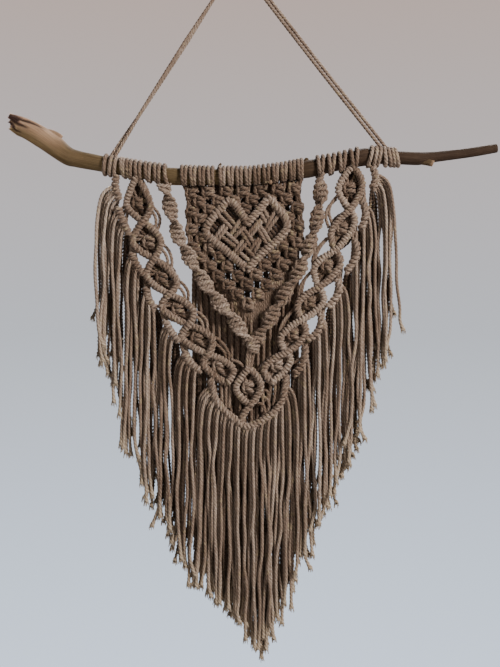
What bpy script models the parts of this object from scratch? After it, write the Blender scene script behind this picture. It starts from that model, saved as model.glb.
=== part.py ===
"""A macrame wall hanging on a driftwood branch, as it hangs.

Tables are in millimetres: "across" is to the right of the nail point, "drop" is below it, and
"depth" is towards the wall. Everything is placed in metres, +Z up, with the origin at the nail
point over which the hanging cord runs.
"""

import bisect
import math

import bmesh
import bpy
from mathutils import Vector

MM = 0.001
CORD = 4.0  # thickness of every cotton cord
GAP = 0.3  # between neighbouring pieces
WELD = 0.000003  # metres within which a joined piece's vertices are one
HEX_FLAT = math.cos(math.pi / 6)  # a six-sided tube's flats lie this share of its radius out

# Half hitch bars and knots
BAR_RADIUS = 4.2
BAR_VALLEY = 3.2
BAND_PITCH = 14.0  # from one ridge of a long bar to the next
SHORT_PITCH = 9.0
BAR_DEPTH = -2.5
KNOT_RADIUS = 6.2
KNOT_VALLEY = 4.6
KNOT_HEIGHT = 15.0
KNOT_PITCH = 7.5
KNOT_CORD_RADIUS = 2.6
STRAND_RADIUS = 1.9

# Turns of cord round the branch
TURN_PITCH = 7.4
TURN_THICKNESS = 3.4
TURN_VALLEY = 2.0

# Fringe
FRINGE_RADIUS = 2.2  # of a three-sided strand's corners
FRINGE_PITCH = 2.7  # across, from one strand to the next, which hangs in the other layer
FRINGE_LAYERS = (-4.2, 1.0)
LONG_STRAND = 170.0  # a longer one also sways half way down
BACK_LAYER = 7.0
SETTLE = 38.0  # drop in which a strand swings out from its root and hangs straight
SWAY = 1.6

# The centre cloth
PANEL_FRONT = -4.0  # depth of a knot's crown
PANEL_PIT = -1.4
PANEL_BACK = 1.6
KNOT_ACROSS = 9.35  # half the square knots' spacing
STRIP_THICKNESS = 3.2

# The hanging cord
HANGER_STEP = 18.0

MATERIALS = {
    "cotton": ((0.36, 0.27, 0.19, 1.0), 0.85),
    "driftwood": ((0.17, 0.12, 0.075, 1.0), 0.8),
}

# The branch's axis from its broken end to its sawn end: across, drop, radius
BRANCH = (
    (-257.0, 174.6, 9.6),
    (-244.0, 180.0, 10.5),
    (-228.8, 186.5, 11.0),
    (-215.6, 194.2, 11.5),
    (-204.6, 202.4, 10.7),
    (-193.6, 210.1, 9.6),
    (-182.6, 215.8, 9.4),
    (-171.6, 218.9, 9.0),
    (-151.8, 222.8, 8.6),
    (-124.3, 228.3, 8.2),
    (-96.8, 232.7, 8.3),
    (-71.5, 237.1, 9.5),
    (-25.3, 237.6, 8.6),
    (13.2, 237.1, 8.1),
    (46.2, 233.2, 8.3),
    (77.0, 228.8, 9.7),
    (106.7, 222.8, 8.4),
    (139.7, 215.6, 9.7),
    (161.7, 215.6, 7.5),
    (178.2, 216.7, 7.2),
    (198.0, 217.3, 7.2),
    (217.8, 215.2, 5.6),
    (244.2, 212.3, 5.1),
    (266.2, 209.0, 5.0),
    (284.5, 206.0, 4.7),
)

# Stubs on the branch: across, drop and radius at the root, then at the tip
STUBS = {
    "spur": ((-209.0, 193.0, 5.0), (-193.6, 192.6, 1.5)),
    "twig": ((-22.0, 234.0, 2.4), (-18.7, 222.8, 1.0)),
    "bud": ((75.0, 224.0, 4.0), (75.9, 216.5, 1.6)),
    "underside": ((200.0, 217.0, 6.0), (214.5, 223.6, 3.4)),
}

# What the broken end lost: across, drop, long, tall, lean in degrees
BREAKS = (
    (-258.5, 178.0, 20.0, 40.0, -6.0),
    (-248.0, 175.0, 16.0, 1.6, 22.0),
    (-246.0, 184.0, 12.0, 2.2, 30.0),
)

# Turns round the branch: first and last across
TURNS = {
    "hitch_left": (-146.9, -135.6),
    "fringe_left_0": (-134.9, -125.6),
    "band_left": (-124.8, -77.0),
    "panel": (-63.8, 70.2),
    "band_right": (84.2, 134.2),
    "fringe_right_0": (145.6, 156.9),
    "hitch_right": (157.7, 171.6),
}

# Lozenges, a row each: crossing above, left corner, right corner, centre knot
BAND_LEFT = (
    ((-111.1, 238.0), (-122.1, 268.4), (-95.7, 268.4), (-110.0, 267.3)),
    ((-104.0, 287.1), (-115.5, 310.2), (-84.7, 306.9), (-98.0, 309.2)),
    ((-91.8, 327.8), (-100.1, 347.6), (-67.1, 350.9), (-83.6, 348.6)),
    ((-74.8, 366.8), (-83.6, 381.7), (-49.5, 383.9), (-65.9, 382.8)),
    ((-53.9, 400.4), (-61.6, 414.7), (-28.6, 414.7), (-45.0, 414.7)),
    ((-32.4, 432.8), (-37.4, 444.4), (-5.5, 447.7), (-21.5, 446.6)),
)
BAND_LEFT_END = (-12.1, 464.2)
BAND_RIGHT = (
    ((125.4, 226.0), (110.0, 251.9), (136.4, 246.4), (122.1, 250.8)),
    ((123.2, 273.9), (102.3, 298.1), (127.6, 290.4), (114.3, 294.9)),
    ((106.7, 318.5), (83.6, 337.7), (112.2, 334.4), (97.8, 336.6)),
    ((89.1, 359.2), (66.0, 376.2), (93.5, 376.2), (79.1, 376.2)),
    ((69.9, 394.9), (47.3, 413.6), (73.7, 411.4), (60.4, 411.4)),
    ((52.8, 430.7), (28.6, 447.7), (57.2, 441.1), (42.8, 444.4)),
)
BAND_RIGHT_END = (37.4, 463.1)
BAND_TIP = (((12.1, 447.7), (-2.2, 469.7), (25.3, 466.4), (11.0, 468.6)),)
BAND_TIP_END = (13.2, 488.4)
TIP_TAIL = ((13.2, 488.4), (6.5, 498.0), (3.0, 506.0))

# The spiral sinnets' centre lines, and the knot that joins them
SPIRAL_LEFT = (
    (-81.0, 246.0),
    (-73.7, 273.9),
    (-69.3, 290.4),
    (-63.8, 306.9),
    (-52.8, 326.7),
    (-38.5, 350.9),
    (-23.1, 372.9),
    (-3.3, 397.1),
    (13.5, 420.5),
)
SPIRAL_RIGHT = (
    (90.2, 236.0),
    (90.2, 262.9),
    (85.8, 287.1),
    (82.5, 301.4),
    (71.5, 331.1),
    (57.2, 356.4),
    (47.3, 372.9),
    (33.0, 397.1),
    (20.0, 418.0),
)
SPIRAL_WIDE = 6.6
SPIRAL_NARROW = 4.2
SPIRAL_STEP = 7.5
SPIRAL_TURN = 60.0  # drop of a whole turn
SPIRAL_DEPTH = -4.5
JOIN = (16.5, 423.0)
JOIN_RADIUS = 7.0
JOIN_CORDS = (-2.2, 2.2)

# The centre cloth's outline, a row per height: drop, left edge, right edge
PANEL = (
    (243.0, -62.0, 70.0),
    (262.9, -56.1, 72.6),
    (279.4, -52.8, 73.7),
    (295.9, -52.8, 71.5),
    (312.4, -50.6, 67.1),
    (328.9, -36.3, 60.5),
    (345.4, -25.3, 51.7),
    (359.7, -14.3, 40.7),
    (372.9, -3.3, 28.6),
    (382.8, 8.0, 17.5),
)

# The heart's two bars, from the notch over a lobe to the point
HEART = {
    "left": (
        (9.9, 288.0),
        (-9.0, 265.0),
        (-22.0, 278.0),
        (-35.0, 296.5),
        (-31.0, 304.0),
        (8.5, 338.0),
    ),
    "right": (
        (9.9, 288.0),
        (34.0, 263.0),
        (50.0, 281.0),
        (53.0, 296.0),
        (42.0, 309.0),
        (8.5, 340.0),
    ),
}
HEART_MIDDLE = (8.5, 300.0)
HEART_REACH = (62.0, 56.0)
HEART_DEPTH = -4.2
HEART_RADIUS = 3.8
HEART_VALLEY = 2.9

# Pairs of cord woven inside the heart: from, to
WEAVE = (
    ((-24.0, 280.0), (22.0, 326.0)),
    ((-12.0, 270.0), (30.0, 316.0)),
    ((10.0, 289.0), (41.0, 308.0)),
    ((27.0, 275.0), (49.0, 297.0)),
    ((-29.0, 307.0), (0.0, 274.0)),
    ((-16.0, 317.0), (30.0, 271.0)),
    ((-4.0, 327.0), (42.0, 277.0)),
    ((6.0, 333.0), (50.0, 290.0)),
)
WEAVE_DEPTHS = (-5.2, -4.5)  # of the pairs that fall to the right, and to the left
WEAVE_RADIUS = 3.0

# Cords from the single lozenge up to the bands beside it
TIP_TIES = (
    ((12.0, 449.0), (-5.5, 447.7)),
    ((12.0, 449.0), (28.6, 447.7)),
)

# The hanging cord's line from the left turns over the nail to the right turns: across, drop
HANGER = (
    (-142.0, 222.0),
    (-128.0, 200.0),
    (-81.0, 126.4),
    (-27.5, 43.0),
    (-4.5, 6.5),
    (0.0, 2.2),
    (4.5, 5.0),
    (33.0, 42.9),
    (95.0, 123.0),
    (152.0, 195.0),
    (163.0, 210.0),
)
# How far round each other the two strands have turned: share of the length, degrees
HANGER_TURN = ((0.0, 10.0), (0.12, 80.0), (0.3, 110.0), (0.45, 60.0), (0.55, 20.0), (1.0, 0.0))

# The fringe's backing bars, from left to right
BARS = {
    "fringe_left_0": ((-131.5, 234.0), (-133.1, 262.0)),
    "fringe_left_1": ((-127.6, 276.0), (-121.0, 294.8), (-115.5, 308.0)),
    "fringe_left_2": ((-116.6, 321.2), (-108.0, 336.0), (-100.1, 347.6)),
    "fringe_left_3": ((-100.1, 360.8), (-93.0, 374.0), (-83.6, 381.7)),
    "fringe_left_4": ((-80.3, 396.0), (-70.0, 410.0), (-61.6, 414.7)),
    "fringe_left_5": ((-60.5, 431.2), (-50.0, 443.0), (-37.4, 446.0)),
    "fringe_right_5": ((57.2, 443.0), (67.0, 446.0), (73.0, 436.0), (72.6, 423.5)),
    "fringe_right_4": ((73.7, 411.4), (84.0, 405.0), (92.4, 389.4)),
    "fringe_right_3": ((93.5, 376.2), (103.0, 370.0), (112.2, 350.9)),
    "fringe_right_2": ((112.2, 336.0), (123.2, 331.1), (128.5, 318.0), (126.5, 310.2)),
    "fringe_right_1": ((127.6, 292.0), (137.0, 290.4), (140.8, 273.0), (136.4, 265.1)),
    "fringe_right_0": ((145.2, 249.7), (149.6, 224.0)),
}
# Where each bar's strands hang: first and last place across, drop of the first and last tips
HANGS = {
    "fringe_left_0": (-156.5, -143.0, 430.0, 455.0),
    "fringe_left_1": (-140.8, -127.4, 452.0, 505.0),
    "fringe_left_2": (-125.0, -109.0, 530.0, 562.0),
    "fringe_left_3": (-107.0, -91.0, 574.0, 609.0),
    "fringe_left_4": (-89.0, -73.0, 615.0, 637.0),
    "fringe_left_5": (-71.0, -48.5, 645.0, 684.0),
    "fringe_right_5": (66.5, 81.0, 668.0, 642.0),
    "fringe_right_4": (83.0, 100.5, 631.0, 600.0),
    "fringe_right_3": (104.0, 122.5, 590.0, 555.0),
    "fringe_right_2": (124.5, 134.5, 552.0, 528.0),
    "fringe_right_1": (137.0, 152.0, 525.0, 462.0),
    "fringe_right_0": (154.0, 170.5, 466.0, 417.0),
}
TIP_BAR = (
    (-30.0, 458.5),
    (-25.3, 479.6),
    (-15.4, 493.9),
    (-4.4, 502.7),
    (11.0, 511.5),
    (35.2, 499.4),
    (48.4, 482.9),
    (53.0, 456.0),
)
# The hem under that bar and under the cloth: across, drop
TIP_HEM = (
    (-46.0, 684.0),
    (-20.0, 706.0),
    (-6.0, 722.0),
    (10.0, 742.0),
    (26.0, 764.0),
    (40.0, 742.0),
    (56.0, 706.0),
    (66.0, 676.0),
)
BACK_HEM = (
    (-52.0, 640.0),
    (-25.0, 690.0),
    (10.0, 730.0),
    (28.0, 752.0),
    (50.0, 700.0),
    (71.0, 630.0),
)


def place(across, depth, drop):
    return Vector((across, depth, -drop)) * MM


def between(rows, across):
    """The row at a place across, read straight between the table's rows."""
    keys = [row[0] for row in rows]
    i = min(max(bisect.bisect_right(keys, across), 1), len(rows) - 1)
    low, high = rows[i - 1], rows[i]
    share = (across - low[0]) / (high[0] - low[0])
    share = min(max(share, 0.0), 1.0)
    return [a + (b - a) * share for a, b in zip(low, high)]


def smooth(points, step):
    """Points every step along a smooth curve through the given ones."""
    given = [Vector(p) for p in points]
    padded = [2 * given[0] - given[1]] + given + [2 * given[-1] - given[-2]]
    dense = []
    for a, b, c, d in zip(padded, padded[1:], padded[2:], padded[3:]):
        for k in range(12):
            t = k / 12
            dense.append(0.5 * ((2 * b) + (c - a) * t + (2 * a - 5 * b + 4 * c - d) * t * t
                                + (3 * b - a - 3 * c + d) * t ** 3))
    dense.append(given[-1])
    travelled = [0.0]
    for a, b in zip(dense, dense[1:]):
        travelled.append(travelled[-1] + (b - a).length)
    count = max(2, round(travelled[-1] / step) + 1)
    out = []
    for k in range(count):
        target = travelled[-1] * k / (count - 1)
        i = min(max(bisect.bisect_right(travelled, target), 1), len(dense) - 1)
        share = (target - travelled[i - 1]) / (travelled[i] - travelled[i - 1])
        out.append(dense[i - 1].lerp(dense[i], share))
    return out


class Workshop:
    """The collections that hold the pieces and what they are joined or cut with."""

    def __init__(self):
        for obj in list(bpy.data.objects):
            bpy.data.objects.remove(obj, do_unlink=True)
        self.plan = []
        self.pieces = self.collection("macrame_wall_hanging", bpy.context.scene.collection)
        self.cutters = self.collection("cutters", bpy.context.scene.collection)
        self.triangle = self.profile("triangle", [(math.cos(a), math.sin(a)) for a in
                                                  (math.radians(90 + 120 * k) for k in range(3))])
        self.oval = self.profile("oval", [(SPIRAL_WIDE * math.cos(a), SPIRAL_NARROW * math.sin(a))
                                          for a in (math.radians(60 * k) for k in range(6))])

    def collection(self, name, parent):
        made = bpy.data.collections.new(name)
        parent.children.link(made)
        return made

    def profile(self, name, corners):
        curve = bpy.data.curves.new(name, "CURVE")
        curve.dimensions = "2D"
        spline = curve.splines.new("POLY")
        spline.points.add(len(corners) - 1)
        spline.use_cyclic_u = True
        for point, (x, y) in zip(spline.points, corners):
            point.co = (x * MM, y * MM, 0, 1)
        return self.hide(bpy.data.objects.new(name, curve))

    def hide(self, obj):
        self.cutters.objects.link(obj)
        obj.hide_render = True
        obj.display_type = "WIRE"
        return obj


def tube(name, points, radii, sides=6, profile=None, tilts=None):
    """A closed mesh tube through points in metres, with a radius in millimetres at each."""
    curve = bpy.data.curves.new(name, "CURVE")
    curve.dimensions = "3D"
    curve.use_fill_caps = True
    if profile:
        curve.bevel_mode = "OBJECT"
        curve.bevel_object = profile
    else:
        curve.bevel_depth = MM
        curve.bevel_resolution = (sides - 4) // 2
    spline = curve.splines.new("POLY")
    spline.points.add(len(points) - 1)
    for i, (point, where) in enumerate(zip(spline.points, points)):
        point.co = (*where, 1)
        point.radius = radii[i] if isinstance(radii, (list, tuple)) else radii
        point.tilt = tilts[i] if tilts else 0.0
    source = bpy.data.objects.new(name + "_path", curve)
    bpy.context.scene.collection.objects.link(source)
    return meshed(name, source)


def meshed(name, source):
    """The mesh of a curve, with its caps welded, in place of the curve."""
    graph = bpy.context.evaluated_depsgraph_get()
    mesh = bpy.data.meshes.new_from_object(source.evaluated_get(graph))
    work = bmesh.new()
    work.from_mesh(mesh)
    bmesh.ops.remove_doubles(work, verts=work.verts, dist=WELD)
    bmesh.ops.recalc_face_normals(work, faces=work.faces)
    work.to_mesh(mesh)
    work.free()
    obj = bpy.data.objects.new(name, mesh)
    obj.matrix_world = source.matrix_world
    bpy.data.objects.remove(source, do_unlink=True)
    return obj


def ridged(name, points, depth, peak, valley, pitch):
    """A bar of half hitches: a tube that swells once every pitch."""
    path = smooth([place(x, depth, z) for x, z in points], pitch / 2 * MM)
    radii = [valley if i % 2 == 0 else peak for i in range(len(path))]
    return tube(name, path, radii)


def clearance(name, points, depth, peak, pitch):
    """The room that a ridged bar needs, for cutting its neighbours."""
    path = smooth([place(x, depth, z) for x, z in points], pitch / 2 * MM)
    path.insert(0, path[0] + (path[0] - path[1]).normalized() * 2 * GAP * MM)
    path.append(path[-1] + (path[-1] - path[-2]).normalized() * 2 * GAP * MM)
    return tube(name, path, peak + 1.2 * GAP / HEX_FLAT)


def strand(name, points, radius=STRAND_RADIUS):
    return tube(name, [place(*p) for p in points], radius, sides=4)


def finish(shop, name, members, cutters, material, bored=False):
    """Note down a piece: its members are joined into one solid, and the cutters taken away.

    In a bored piece the cutters are only taken from the first member, before the joining.
    """
    shop.plan.append((name, members, cutters, material, bored))


def assemble(shop, name, members, cutters, material, bored):
    node = members[0]
    node.name = name
    node.data.name = name
    shop.pieces.objects.link(node)
    steps = [("UNION", members[1:]), ("DIFFERENCE", cutters)]
    for operation, others in reversed(steps) if bored else steps:
        if not others:
            continue
        group = shop.collection(name + "_" + operation.lower(), shop.cutters)
        for other in others:
            if other.name not in group.objects:
                group.objects.link(other)
            other.hide_render = True
            other.display_type = "WIRE"
        boolean = node.modifiers.new(operation.lower(), "BOOLEAN")
        boolean.operation = operation
        boolean.operand_type = "COLLECTION"
        boolean.collection = group
        boolean.solver = "EXACT"
        weld = node.modifiers.new("weld", "WELD")
        weld.merge_threshold = WELD
    node.data.materials.clear()
    node.data.materials.append(material)


def materials():
    made = {}
    for name, (colour, roughness) in MATERIALS.items():
        material = bpy.data.materials.new(name)
        material.use_nodes = True
        shader = material.node_tree.nodes["Principled BSDF"]
        shader.inputs["Base Color"].default_value = colour
        shader.inputs["Roughness"].default_value = roughness
        made[name] = material
    return made


def branch(shop, material):
    points = [place(x, 0, z) for x, z, _ in BRANCH]
    log = tube("branch", points, [r for _, _, r in BRANCH], sides=10)
    stubs = [stub(name, 0.0) for name in STUBS]
    breaks = [slab(f"break_{i}", *row) for i, row in enumerate(BREAKS)]
    finish(shop, "branch", [log] + stubs, breaks, material)


def stub(name, grown):
    (x0, z0, r0), (x1, z1, r1) = STUBS[name]
    return tube(name, [place(x0, 0, z0), place(x1, 0, z1 - 2 * grown)], [r0 + grown, r1 + grown])


def slab(name, across, drop, long, tall, lean):
    """A cutter box right through the branch."""
    work = bmesh.new()
    bmesh.ops.create_cube(work, size=1.0)
    bmesh.ops.scale(work, vec=(long * MM, 40.0 * MM, tall * MM), verts=work.verts)
    mesh = bpy.data.meshes.new(name)
    work.to_mesh(mesh)
    work.free()
    obj = bpy.data.objects.new(name, mesh)
    obj.location = place(across, 0, drop)
    obj.rotation_euler.y = math.radians(lean)
    return obj


def branch_room():
    """The branch and its twig with their clearance, which every turn of cord is bored with."""
    points = [place(x, 0, z) for x, z, _ in BRANCH]
    log = tube("branch_room", points, [r + GAP + 0.1 for _, _, r in BRANCH], sides=10)
    return [log, stub("twig", GAP / HEX_FLAT)]


def turns(name):
    """A row of turns round the branch, ridged at every turn."""
    first, last = TURNS[name]
    count = round((last - first) / TURN_PITCH)
    points, radii = [], []
    for k in range(2 * count + 1):
        x, z, r = between(BRANCH, first + (last - first) * k / (2 * count))
        points.append(place(x, 0, z))
        radii.append(r + (TURN_THICKNESS if k % 2 else TURN_VALLEY))
    return tube(name + "_turns", points, radii, sides=8)


def turns_room(name):
    first, last = TURNS[name]
    points, radii = [], []
    for k in range(7):
        x, z, r = between(BRANCH, first - GAP + (last - first + 2 * GAP) * k / 6)
        points.append(place(x, 0, z))
        radii.append(r + TURN_THICKNESS + 2 * GAP)
    return tube(name + "_room", points, radii, sides=8)


def chains(rows, end):
    """The two bars of a band, which change sides at each crossing."""
    first, second = [], []
    for i, (top, left, right, _) in enumerate(rows):
        first += [top, left if i % 2 == 0 else right]
        second += [top, right if i % 2 == 0 else left]
    return first + [end], second + [end]


def band(shop, name, rows, end, extra, cutters, material):
    members = []
    for i, points in enumerate(chains(rows, end)):
        radii = (BAR_RADIUS, BAR_VALLEY)
        members.append(ridged(f"{name}_bar_{i}", points, BAR_DEPTH, *radii, BAND_PITCH))
    for i, (_, left, right, (x, z)) in enumerate(rows):
        tall = [(x, z - KNOT_HEIGHT / 2), (x, z + KNOT_HEIGHT / 2)]
        radii = (KNOT_RADIUS, KNOT_VALLEY)
        members.append(ridged(f"{name}_knot_{i}", tall, BAR_DEPTH, *radii, KNOT_PITCH))
        reach = [(x, BAR_DEPTH, z) for x, z in (left, right)]
        members.append(strand(f"{name}_cord_{i}", reach, KNOT_CORD_RADIUS))
    finish(shop, name, members + extra, cutters, material)


def band_room(name, rows, end):
    return [
        clearance(f"{name}_room_{i}", points, BAR_DEPTH, BAR_RADIUS, BAND_PITCH)
        for i, points in enumerate(chains(rows, end))
    ]


def tip_band(shop, rooms, material):
    """The single lozenge, cut clear of the two bands, and the room that it needs itself."""
    radii = (BAR_RADIUS, BAR_VALLEY)
    extra = [ridged("tip_tail", TIP_TAIL, BAR_DEPTH, *radii, SHORT_PITCH)]
    rooms["tip"].append(clearance("tail_room", TIP_TAIL, BAR_DEPTH, BAR_RADIUS, SHORT_PITCH))
    for i, ends in enumerate(TIP_TIES):
        points = [(x, BAR_DEPTH, z) for x, z in ends]
        extra.append(strand(f"tip_tie_{i}", points))
        rooms["tip"].append(strand(f"tie_room_{i}", points, STRAND_RADIUS + 2 * GAP))
    cutters = rooms["left"] + rooms["right"]
    band(shop, "band_tip", BAND_TIP, BAND_TIP_END, extra, cutters, material)


def panel_vertex(work, i, j, columns, square_rows, rows):
    """One knot or gap of the cloth. Under the square part each row is one knot shorter."""
    narrowing = max(0, j - square_rows)
    drop, left, right = between(PANEL, PANEL[0][0] + (PANEL[-1][0] - PANEL[0][0]) * j / rows)
    span = columns - 2 * narrowing
    across = left + (right - left) * ((i - narrowing) / span if span else 0.5)
    if j == 0:
        _, axis, radius = between(BRANCH, across)
        drop = axis + radius + TURN_THICKNESS / 2
    away = abs(across - HEART_MIDDLE[0]) / HEART_REACH[0]
    below = abs(drop - HEART_MIDDLE[1]) / HEART_REACH[1]
    depth = PANEL_FRONT if (i + j) % 2 == 0 and away + below > 1 else PANEL_PIT
    return work.verts.new(place(across, depth, drop))


def cloth(name):
    """The square-knot cloth: a lattice with a crown at each knot and a pit between them."""
    columns = 2 * round((PANEL[0][2] - PANEL[0][1]) / KNOT_ACROSS / 2)
    square_rows = columns // 2
    rows = columns
    work = bmesh.new()
    lattice = {}
    for j in range(rows + 1):
        narrowing = max(0, j - square_rows)
        for i in range(narrowing, columns - narrowing + 1):
            lattice[i, j] = panel_vertex(work, i, j, columns, square_rows, rows)
    for j in range(rows):
        for i in range(columns):
            corners = [lattice.get(key) for key in ((i, j), (i + 1, j), (i + 1, j + 1), (i, j + 1))]
            corners = [corner for corner in corners if corner]
            if len(corners) > 2:
                work.faces.new(corners)
    front = list(work.faces)
    back = bmesh.ops.extrude_face_region(work, geom=front, use_keep_orig=True)["geom"]
    for vert in (g for g in back if isinstance(g, bmesh.types.BMVert)):
        vert.co.y = PANEL_BACK * MM
    bmesh.ops.recalc_face_normals(work, faces=work.faces)
    mesh = bpy.data.meshes.new(name)
    work.to_mesh(mesh)
    work.free()
    return bpy.data.objects.new(name, mesh)


def panel(shop, cutters, material):
    members = [turns("panel"), cloth("panel_cloth")]
    for side, points in HEART.items():
        radii = (HEART_RADIUS, HEART_VALLEY)
        members.append(ridged("heart_" + side, points, HEART_DEPTH, *radii, BAND_PITCH))
    for i, ends in enumerate(WEAVE):
        depth = WEAVE_DEPTHS[ends[0][1] > ends[1][1]]
        points = [(x, depth, z) for x, z in ends]
        members.append(strand(f"weave_{i}", points, WEAVE_RADIUS))
    finish(shop, "panel", members, cutters, material, bored=True)


def spiral(shop, name, points, turn_sign, extra, cutters, material):
    """A flat sinnet that turns about its centre line as it hangs."""
    path = smooth([place(x, SPIRAL_DEPTH, z) for x, z in points], SPIRAL_STEP * MM)
    angles = [turn_sign * 2 * math.pi * k * SPIRAL_STEP / SPIRAL_TURN for k in range(len(path))]
    sinnet = tube(name, path, 1.0, profile=shop.oval, tilts=angles)
    finish(shop, name, [sinnet] + extra, cutters, material)


def spirals(shop, rooms, bore, material):
    """Both spiral sinnets. The left one carries the knot and the cords that join them."""
    join = place(JOIN[0], SPIRAL_DEPTH, JOIN[1])
    knot = [ball("join", join, JOIN_RADIUS)]
    x, z = BAND_TIP[0][0]
    for i, shift in enumerate(JOIN_CORDS):
        points = [(JOIN[0] + shift, SPIRAL_DEPTH, JOIN[1]), (x + shift, BAR_DEPTH, z)]
        knot.append(strand(f"join_cord_{i}", points))
    cutters = rooms["tip"] + bore + [turns_room("band_left")]
    spiral(shop, "spiral_left", SPIRAL_LEFT, 1, knot, cutters, material)
    end = [place(x, SPIRAL_DEPTH, z) for x, z in SPIRAL_LEFT[-2:]]
    cutters = [
        ball("join_room", join, JOIN_RADIUS + 2 * GAP),
        tube("end_room", end, (SPIRAL_WIDE + GAP) / HEX_FLAT),
        turns_room("band_right"),
    ]
    spiral(shop, "spiral_right", SPIRAL_RIGHT, -1, [], cutters, material)


def ball(name, centre, radius):
    work = bmesh.new()
    bmesh.ops.create_uvsphere(work, u_segments=10, v_segments=6, radius=radius * MM)
    mesh = bpy.data.meshes.new(name)
    work.to_mesh(mesh)
    work.free()
    obj = bpy.data.objects.new(name, mesh)
    obj.location = centre
    return obj


def along(points, share):
    """A place a share of the way along a bar's outline."""
    path = smooth([(x, 0, z) for x, z in points], 1.0)
    spot = path[round(share * (len(path) - 1))]
    return spot.x, spot.z


def wander(k):
    """A repeatable uneven number from -1 to 1 for the k-th strand."""
    return math.sin(12.9898 * k) * math.cos(4.1414 * k)


def drift(k, phase):
    """The sideways drift of the k-th strand, close to that of its neighbours."""
    return SWAY * math.sin(0.2 * k + phase)


def falling(shop, name, root, across, layer, tip, k):
    """A strand from its root in a bar, which swings out and then hangs straight."""
    x, z = root
    settled = z + SETTLE
    middle = (settled + tip) / 2
    points = [
        (x, BAR_DEPTH, z),
        (x + 0.71 * (across - x), 0.2 * BAR_DEPTH + 0.8 * layer, z + 0.29 * SETTLE),
        (across, layer, settled),
        (across + drift(k, 0.0), layer, middle),
        (across + drift(k, 2.0), layer, tip),
    ]
    if tip - z < LONG_STRAND:
        del points[3]
    path = [place(*p) for p in points]
    return tube(name, path, FRINGE_RADIUS, profile=shop.triangle)


def fringe(shop, name, bar, hang, tips, roots, extra, cutters, material, stride=1):
    """A short bar with its strands, which hang on one lattice across the whole piece."""
    radii = (BAR_RADIUS - GAP, BAR_VALLEY - GAP)
    members = [ridged(name + "_bar", bar, BAR_DEPTH, *radii, SHORT_PITCH)]
    first, last = hang
    for k in range(math.ceil(first / FRINGE_PITCH), math.floor(last / FRINGE_PITCH) + 1, stride):
        across = k * FRINGE_PITCH
        share = (across - first) / (last - first)
        root = along(bar, roots[0] + (roots[1] - roots[0]) * share)
        tip = tips(across) + 5.0 * wander(k)
        layer = FRINGE_LAYERS[k % 2]
        members.append(falling(shop, f"{name}_strand_{k}", root, across, layer, tip, k))
    finish(shop, name, members + extra, cutters, material)


def fringes(shop, rooms, bore, material):
    for name, bar in BARS.items():
        hang, ends = HANGS[name][:2], HANGS[name][2:]
        roots = (0.05, 0.8) if "left" in name else (0.2, 0.95)
        extra, cutters = [], [rooms[name.split("_")[1]]]
        if name in TURNS:
            extra = [turns(name)]
            cutters.append(bore)
            roots = (0.3, 0.95) if "left" in name else (0.05, 0.7)

        def tips(across, hang=hang, ends=ends):
            return ends[0] + (ends[1] - ends[0]) * (across - hang[0]) / (hang[1] - hang[0])

        fringe(shop, name, bar, hang, tips, roots, extra, sum(cutters, []), material)
    hang = (TIP_HEM[0][0], TIP_HEM[-1][0])
    cutters = rooms["left"] + rooms["right"] + rooms["tip"]

    def tip_hem(across):
        return between(TIP_HEM, across)[1]

    fringe(shop, "fringe_tip", TIP_BAR, hang, tip_hem, (0.06, 0.94), [], cutters, material, 2)


def back_layer(shop, material):
    """The panel's own cords, which fall behind everything from a strip at its lower edge."""
    edge = PANEL[4:]
    outline = [(left, drop) for drop, left, _ in edge]
    outline += [(right, drop) for drop, _, right in reversed(edge)]
    outline += [(x, drop - 12.0) for x, drop in reversed(outline)]
    curve = bpy.data.curves.new("strip", "CURVE")
    curve.dimensions = "2D"
    curve.fill_mode = "BOTH"
    curve.extrude = STRIP_THICKNESS / 2 * MM
    spline = curve.splines.new("POLY")
    spline.points.add(len(outline) - 1)
    spline.use_cyclic_u = True
    for point, (x, drop) in zip(spline.points, outline):
        point.co = (x * MM, -drop * MM, 0, 1)
    source = bpy.data.objects.new("strip", curve)
    bpy.context.scene.collection.objects.link(source)
    source.rotation_euler.x = math.pi / 2
    depth = PANEL_BACK + GAP + STRIP_THICKNESS / 2
    source.location.y = depth * MM
    bpy.context.view_layer.update()
    strip = meshed("fringe_back", source)
    members = [strip]
    half = len(outline) // 2
    lower = sorted(outline[:half])
    step = 2 * FRINGE_PITCH
    for k in range(math.ceil(lower[0][0] / step), math.floor(lower[-1][0] / step) + 1):
        across = k * step
        top = between(lower, across)[1] - 5.0
        tip = between(BACK_HEM, across)[1] + 6.0 * wander(k)
        points = [
            (across, depth, top),
            (across, BACK_LAYER, top + SETTLE),
            (across + drift(k, 1.0), BACK_LAYER, (top + tip) / 2),
            (across, BACK_LAYER, tip),
        ]
        path = [place(*p) for p in points]
        name = f"fringe_back_strand_{k}"
        members.append(tube(name, path, FRINGE_RADIUS, profile=shop.triangle))
    finish(shop, "fringe_back", members, [], material)


def hanger_path(side):
    """One strand of the doubled hanging cord, which turns slowly about the other."""
    line = smooth([Vector((x, 0, z)) for x, z in HANGER], HANGER_STEP)
    points = []
    for i, spot in enumerate(line):
        ahead = (line[min(i + 1, len(line) - 1)] - line[max(i - 1, 0)]).normalized()
        across = Vector((ahead.z, 0, -ahead.x))
        angle = math.radians(between(HANGER_TURN, i / (len(line) - 1))[1])
        reach = side * (CORD / 2 + GAP)
        shift = across * reach * math.cos(angle) + Vector((0, reach * math.sin(angle), 0))
        spot = spot + shift
        points.append(place(spot.x, spot.y, spot.z))
    return points


def hanger(shop, name, side, cutters, material):
    line = tube(name, hanger_path(side), CORD / 2, sides=8)
    finish(shop, name, [line], cutters, material)


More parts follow.
